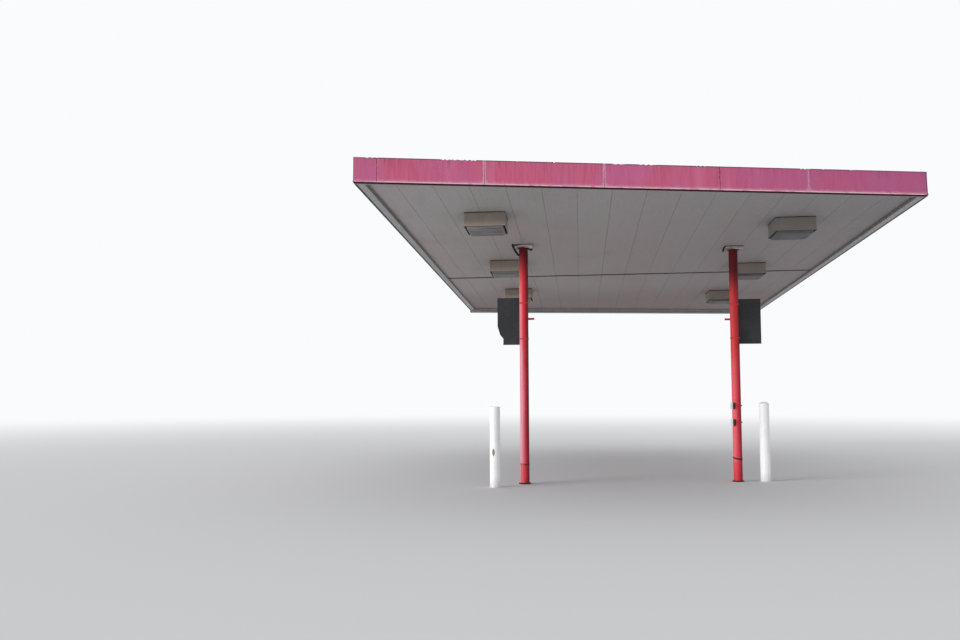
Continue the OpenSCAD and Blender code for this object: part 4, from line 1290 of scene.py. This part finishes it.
rise = np.array([-0.025, -0.024, -0.020, 0.020, 0.024, 0.025])
across, out = squares([0.010, 0.014, 0.017, 0.017, 0.014, 0.010], 0.0040, 16)
reach = POST_R + 0.0065 + out * 0.40
lug.sweep(np.stack([POST_GAP + (reach + across) * math.sqrt(0.5),
                    POST_STEP + (reach - across) * math.sqrt(0.5),
                    OUTLETS_Z[1] + rise[:, None] + 0 * across], -1))
lug.make(BOX_PAINT, "outlet_box")
cover_screws.make(ZINC_FIXING, "outlet_box")

# %% [markdown]
# The bollards are filled pipes. The left one ends nearly flat, the right one in a low
# mortar dome. A profile of radius over height is turned about the axis, and a wandering
# value of both height and angle takes up to 1.4 mm off the radius. That gives the uneven
# skin of paint that was brushed on over years, which a smooth cylinder lacks.

# %% Bollards


def bollard(name, x, y, radius, high, profile, seed):
    """r(z, t) = r - paint(z, t): many coats, thinner in some places than in others."""
    top = np.array(profile)
    z = np.concatenate([np.linspace(0.0, high + top[0, 1] - 0.002, 60), high + top[:, 1]])
    radius = np.concatenate([np.full(60, radius), radius + top[:, 0]])[:, None]
    t = np.linspace(0, 2 * np.pi, 72, endpoint=False)
    round_it = np.cos(t) * 0.3 + np.sin(t) * 0.2
    coat = waves(z, 0.30, seed)[:, None] * waves(round_it, 0.2, seed + 1)
    coat += waves(z, 0.05, seed + 2)[:, None] * waves(t * 0.1, 0.09, seed + 3) * 0.5
    r = radius - 0.0007 * (1 + np.clip(coat, -1, 1)) * (radius > 0.02)
    piece = Piece(name + "_painted")
    piece.sweep(np.stack([x + r * np.cos(t), y + r * np.sin(t), z[:, None] + 0 * r], -1))
    piece.make(BOLLARD_PAINT, "bollard_paint", name)


bollard("left_bollard", -0.421, -0.531, 0.079, 1.212,
        [(0, -0.0110), (-0.0012, -0.0075), (-0.0045, -0.0045), (-0.010, -0.0030),
         (-0.030, -0.0015), (-0.055, -0.0005), (-0.076, 0.0)], 401)
bollard("right_bollard", POST_GAP + 0.433, POST_STEP + 0.036, 0.080, 1.258,
        [(0, -0.0320), (-0.0010, -0.0285), (-0.0035, -0.0255), (-0.008, -0.0225),
         (-0.018, -0.0170), (-0.032, -0.0105), (-0.048, -0.0050), (-0.064, -0.0015),
         (-0.077, 0.0)], 411)

# %% [markdown]
# The top is hidden from below, but the part is looked at from all sides. Felt comes in
# rolls a little under a metre wide, laid side by side with a lap. At each lap the surface
# steps up by 3.5 mm, about the thickness of a sheet, and falls back smoothly over the
# next few centimetres. A flat sheet with painted lines would lose that step.

# %% Roof felt


def felt():
    """Top z(x) = base + 3.5 mm * exp(-distance past a lap / 50 mm), y from edge to edge."""
    low, high = LEFT_X + 0.003, RIGHT_X - 0.003
    edges = np.arange(FELT_LAP, high, FELT_ROLL)
    close = [edge + np.array([-0.10, -0.03, -0.0015, 0.0015, 0.03]) for edge in edges]
    x = np.unique(np.concatenate([np.linspace(low, high, 60), *close]).clip(low, high))
    past = x[:, None] - edges
    past = np.where(past > 0, past, 9.0).min(axis=1)
    top = 0.2995 + 0.0035 * np.exp(-past / 0.05) * (past < 5)
    share = np.concatenate([[0, 0.0006], np.linspace(0.004, 0.996, 110), [0.9994, 1]])[:, None]
    start, end = front_y(x, 0.003), rear_y(x, 0.008)
    y = start + share * (end - start)
    pucker = 0.0008 * waves(y[:, 0], 0.35, 501)[:, None] * waves(x, 0.4, 502)
    upper = on_roof(x, y, np.minimum(top + np.abs(pucker), 0.3039))
    lower = on_roof(x, y, 0.2960)
    piece = Piece("roof_felt_sheets")
    piece.sweep(np.concatenate([upper, lower[:, ::-1]], axis=1))
    piece.make(ROOF_FELT, "roof_felt", "roof_covering", sharp=20)


felt()

# %% [markdown]
# Two brackets carry the rear edge. Each has two webs on a plate, and a weld runs up both
# sides of each web, where it meets the plate. The beads stand upright, although the roof
# leans, as the brackets do.

# %% Bracket welds
BRACKETS_X, WEB_FACES, PLATE_REACH = (LEFT_X + 0.900, RIGHT_X - 0.900), (0.0395, 0.0505), 0.0575
BEAM_TOP, BEAM_FOOT = 0.266, -0.045
bracket_welds = Piece("bracket_welds")
up = np.linspace(-0.098, 0.098, 60)[:, None] * (0, 0, 1)
turn = math.atan(REAR_SKEW)
for number, x in enumerate(BRACKETS_X):
    y = rear_y(x)
    middle = ROOF_Z - y * math.sin(FALL) + x * math.sin(RISE) + (BEAM_TOP + BEAM_FOOT) / 2
    for across in (-WEB_FACES[1], -WEB_FACES[0], *WEB_FACES):
        foot = (x + across * math.cos(turn) - PLATE_REACH * math.sin(turn),
                y * math.cos(FALL) + across * math.sin(turn) + PLATE_REACH * math.cos(turn),
                middle)
        weld(bracket_welds, foot + up, 0.0038, 600 + number)
bracket_welds.make(PRIMER, "structural_steel", sharp=70)

# %% [markdown]
# The stage is a pale floor that fades to white far away, a white sky that only the
# camera and mirrors see, and one very soft, low sun from the left front. The world gives
# the rest of the light, evenly, so colours show about as they are written. Floor and sky
# ask the light path whether a ray will be seen, and turn white only for such rays.


# %% Stage and light
def seen_rays(f):
    """1 for rays of the camera, of mirrors and through glass, and 0 for other rays."""
    camera_ray, glossy, clear = [f.node("LightPath", out="Is " + kind + " Ray")
                                 for kind in ("Camera", "Glossy", "Transmission")]
    return f.node("Math", {"operation": "ADD", "use_clamp": True},
                  {0: camera_ray + glossy, 1: clear})


def pale_floor():
    """Grey near the origin; for seen rays it turns white from 8 to 40 m away."""
    f = Finish("pale_floor")
    far = f.node("VectorMath", {"operation": "LENGTH"}, {0: f.place}, out="Value")
    shade = f.node("BsdfDiffuse", {}, {"Color": (0.64, 0.64, 0.65)})
    white = f.node("Emission", {}, {"Color": (0.955, 0.965, 0.975), "Strength": 1.0})
    share = f.between(far, 8.0, 40.0) * seen_rays(f)
    mixed = f.node("MixShader", {}, {0: share, 1: shade, 2: white})
    f.node("OutputMaterial", {}, {"Surface": mixed})
    return f.owner


def lay_floor(half=90.0, z=-0.001):
    """One square, a millimetre below the posts, that reaches far past the view."""
    mesh = bpy.data.meshes.new("floor")
    mesh.from_pydata([(-half, -half, z), (half, -half, z), (half, half, z), (-half, half, z)],
                     [], [(0, 1, 2, 3)])
    mesh.materials.append(pale_floor())
    floor = bpy.data.objects.new("floor", mesh)
    bpy.context.scene.collection.objects.link(floor)


def light_sky():
    """The sky is a dimmer white for the rays that only light the part."""
    f = Finish("sky", bpy.data.worlds.new("sky"))
    lit = f.node("Background", {}, {"Color": (0.97, 0.985, 1.0), "Strength": 0.82})
    white = f.node("Background", {}, {"Color": (0.955, 0.965, 0.975), "Strength": 1.0})
    mixed = f.node("MixShader", {}, {0: seen_rays(f), 1: lit, 2: white})
    f.node("OutputWorld", {}, {"Surface": mixed})
    bpy.context.scene.world = f.owner


def hang_sun():
    """A lamp whose light travels right, back and a little down; 30 degrees wide is soft."""
    sun = bpy.data.objects.new("soft_sun", bpy.data.lights.new("soft_sun", "SUN"))
    sun.data.energy, sun.data.angle, sun.data.color = 1.90, math.radians(30), (1.0, 0.98, 0.95)
    sun.rotation_mode = "QUATERNION"
    sun.rotation_quaternion = Vector((0.80, 0.50, -0.22)).to_track_quat("-Z", "Y")
    bpy.context.scene.collection.objects.link(sun)


lay_floor()
light_sky()
hang_sun()
print("stage is lit")
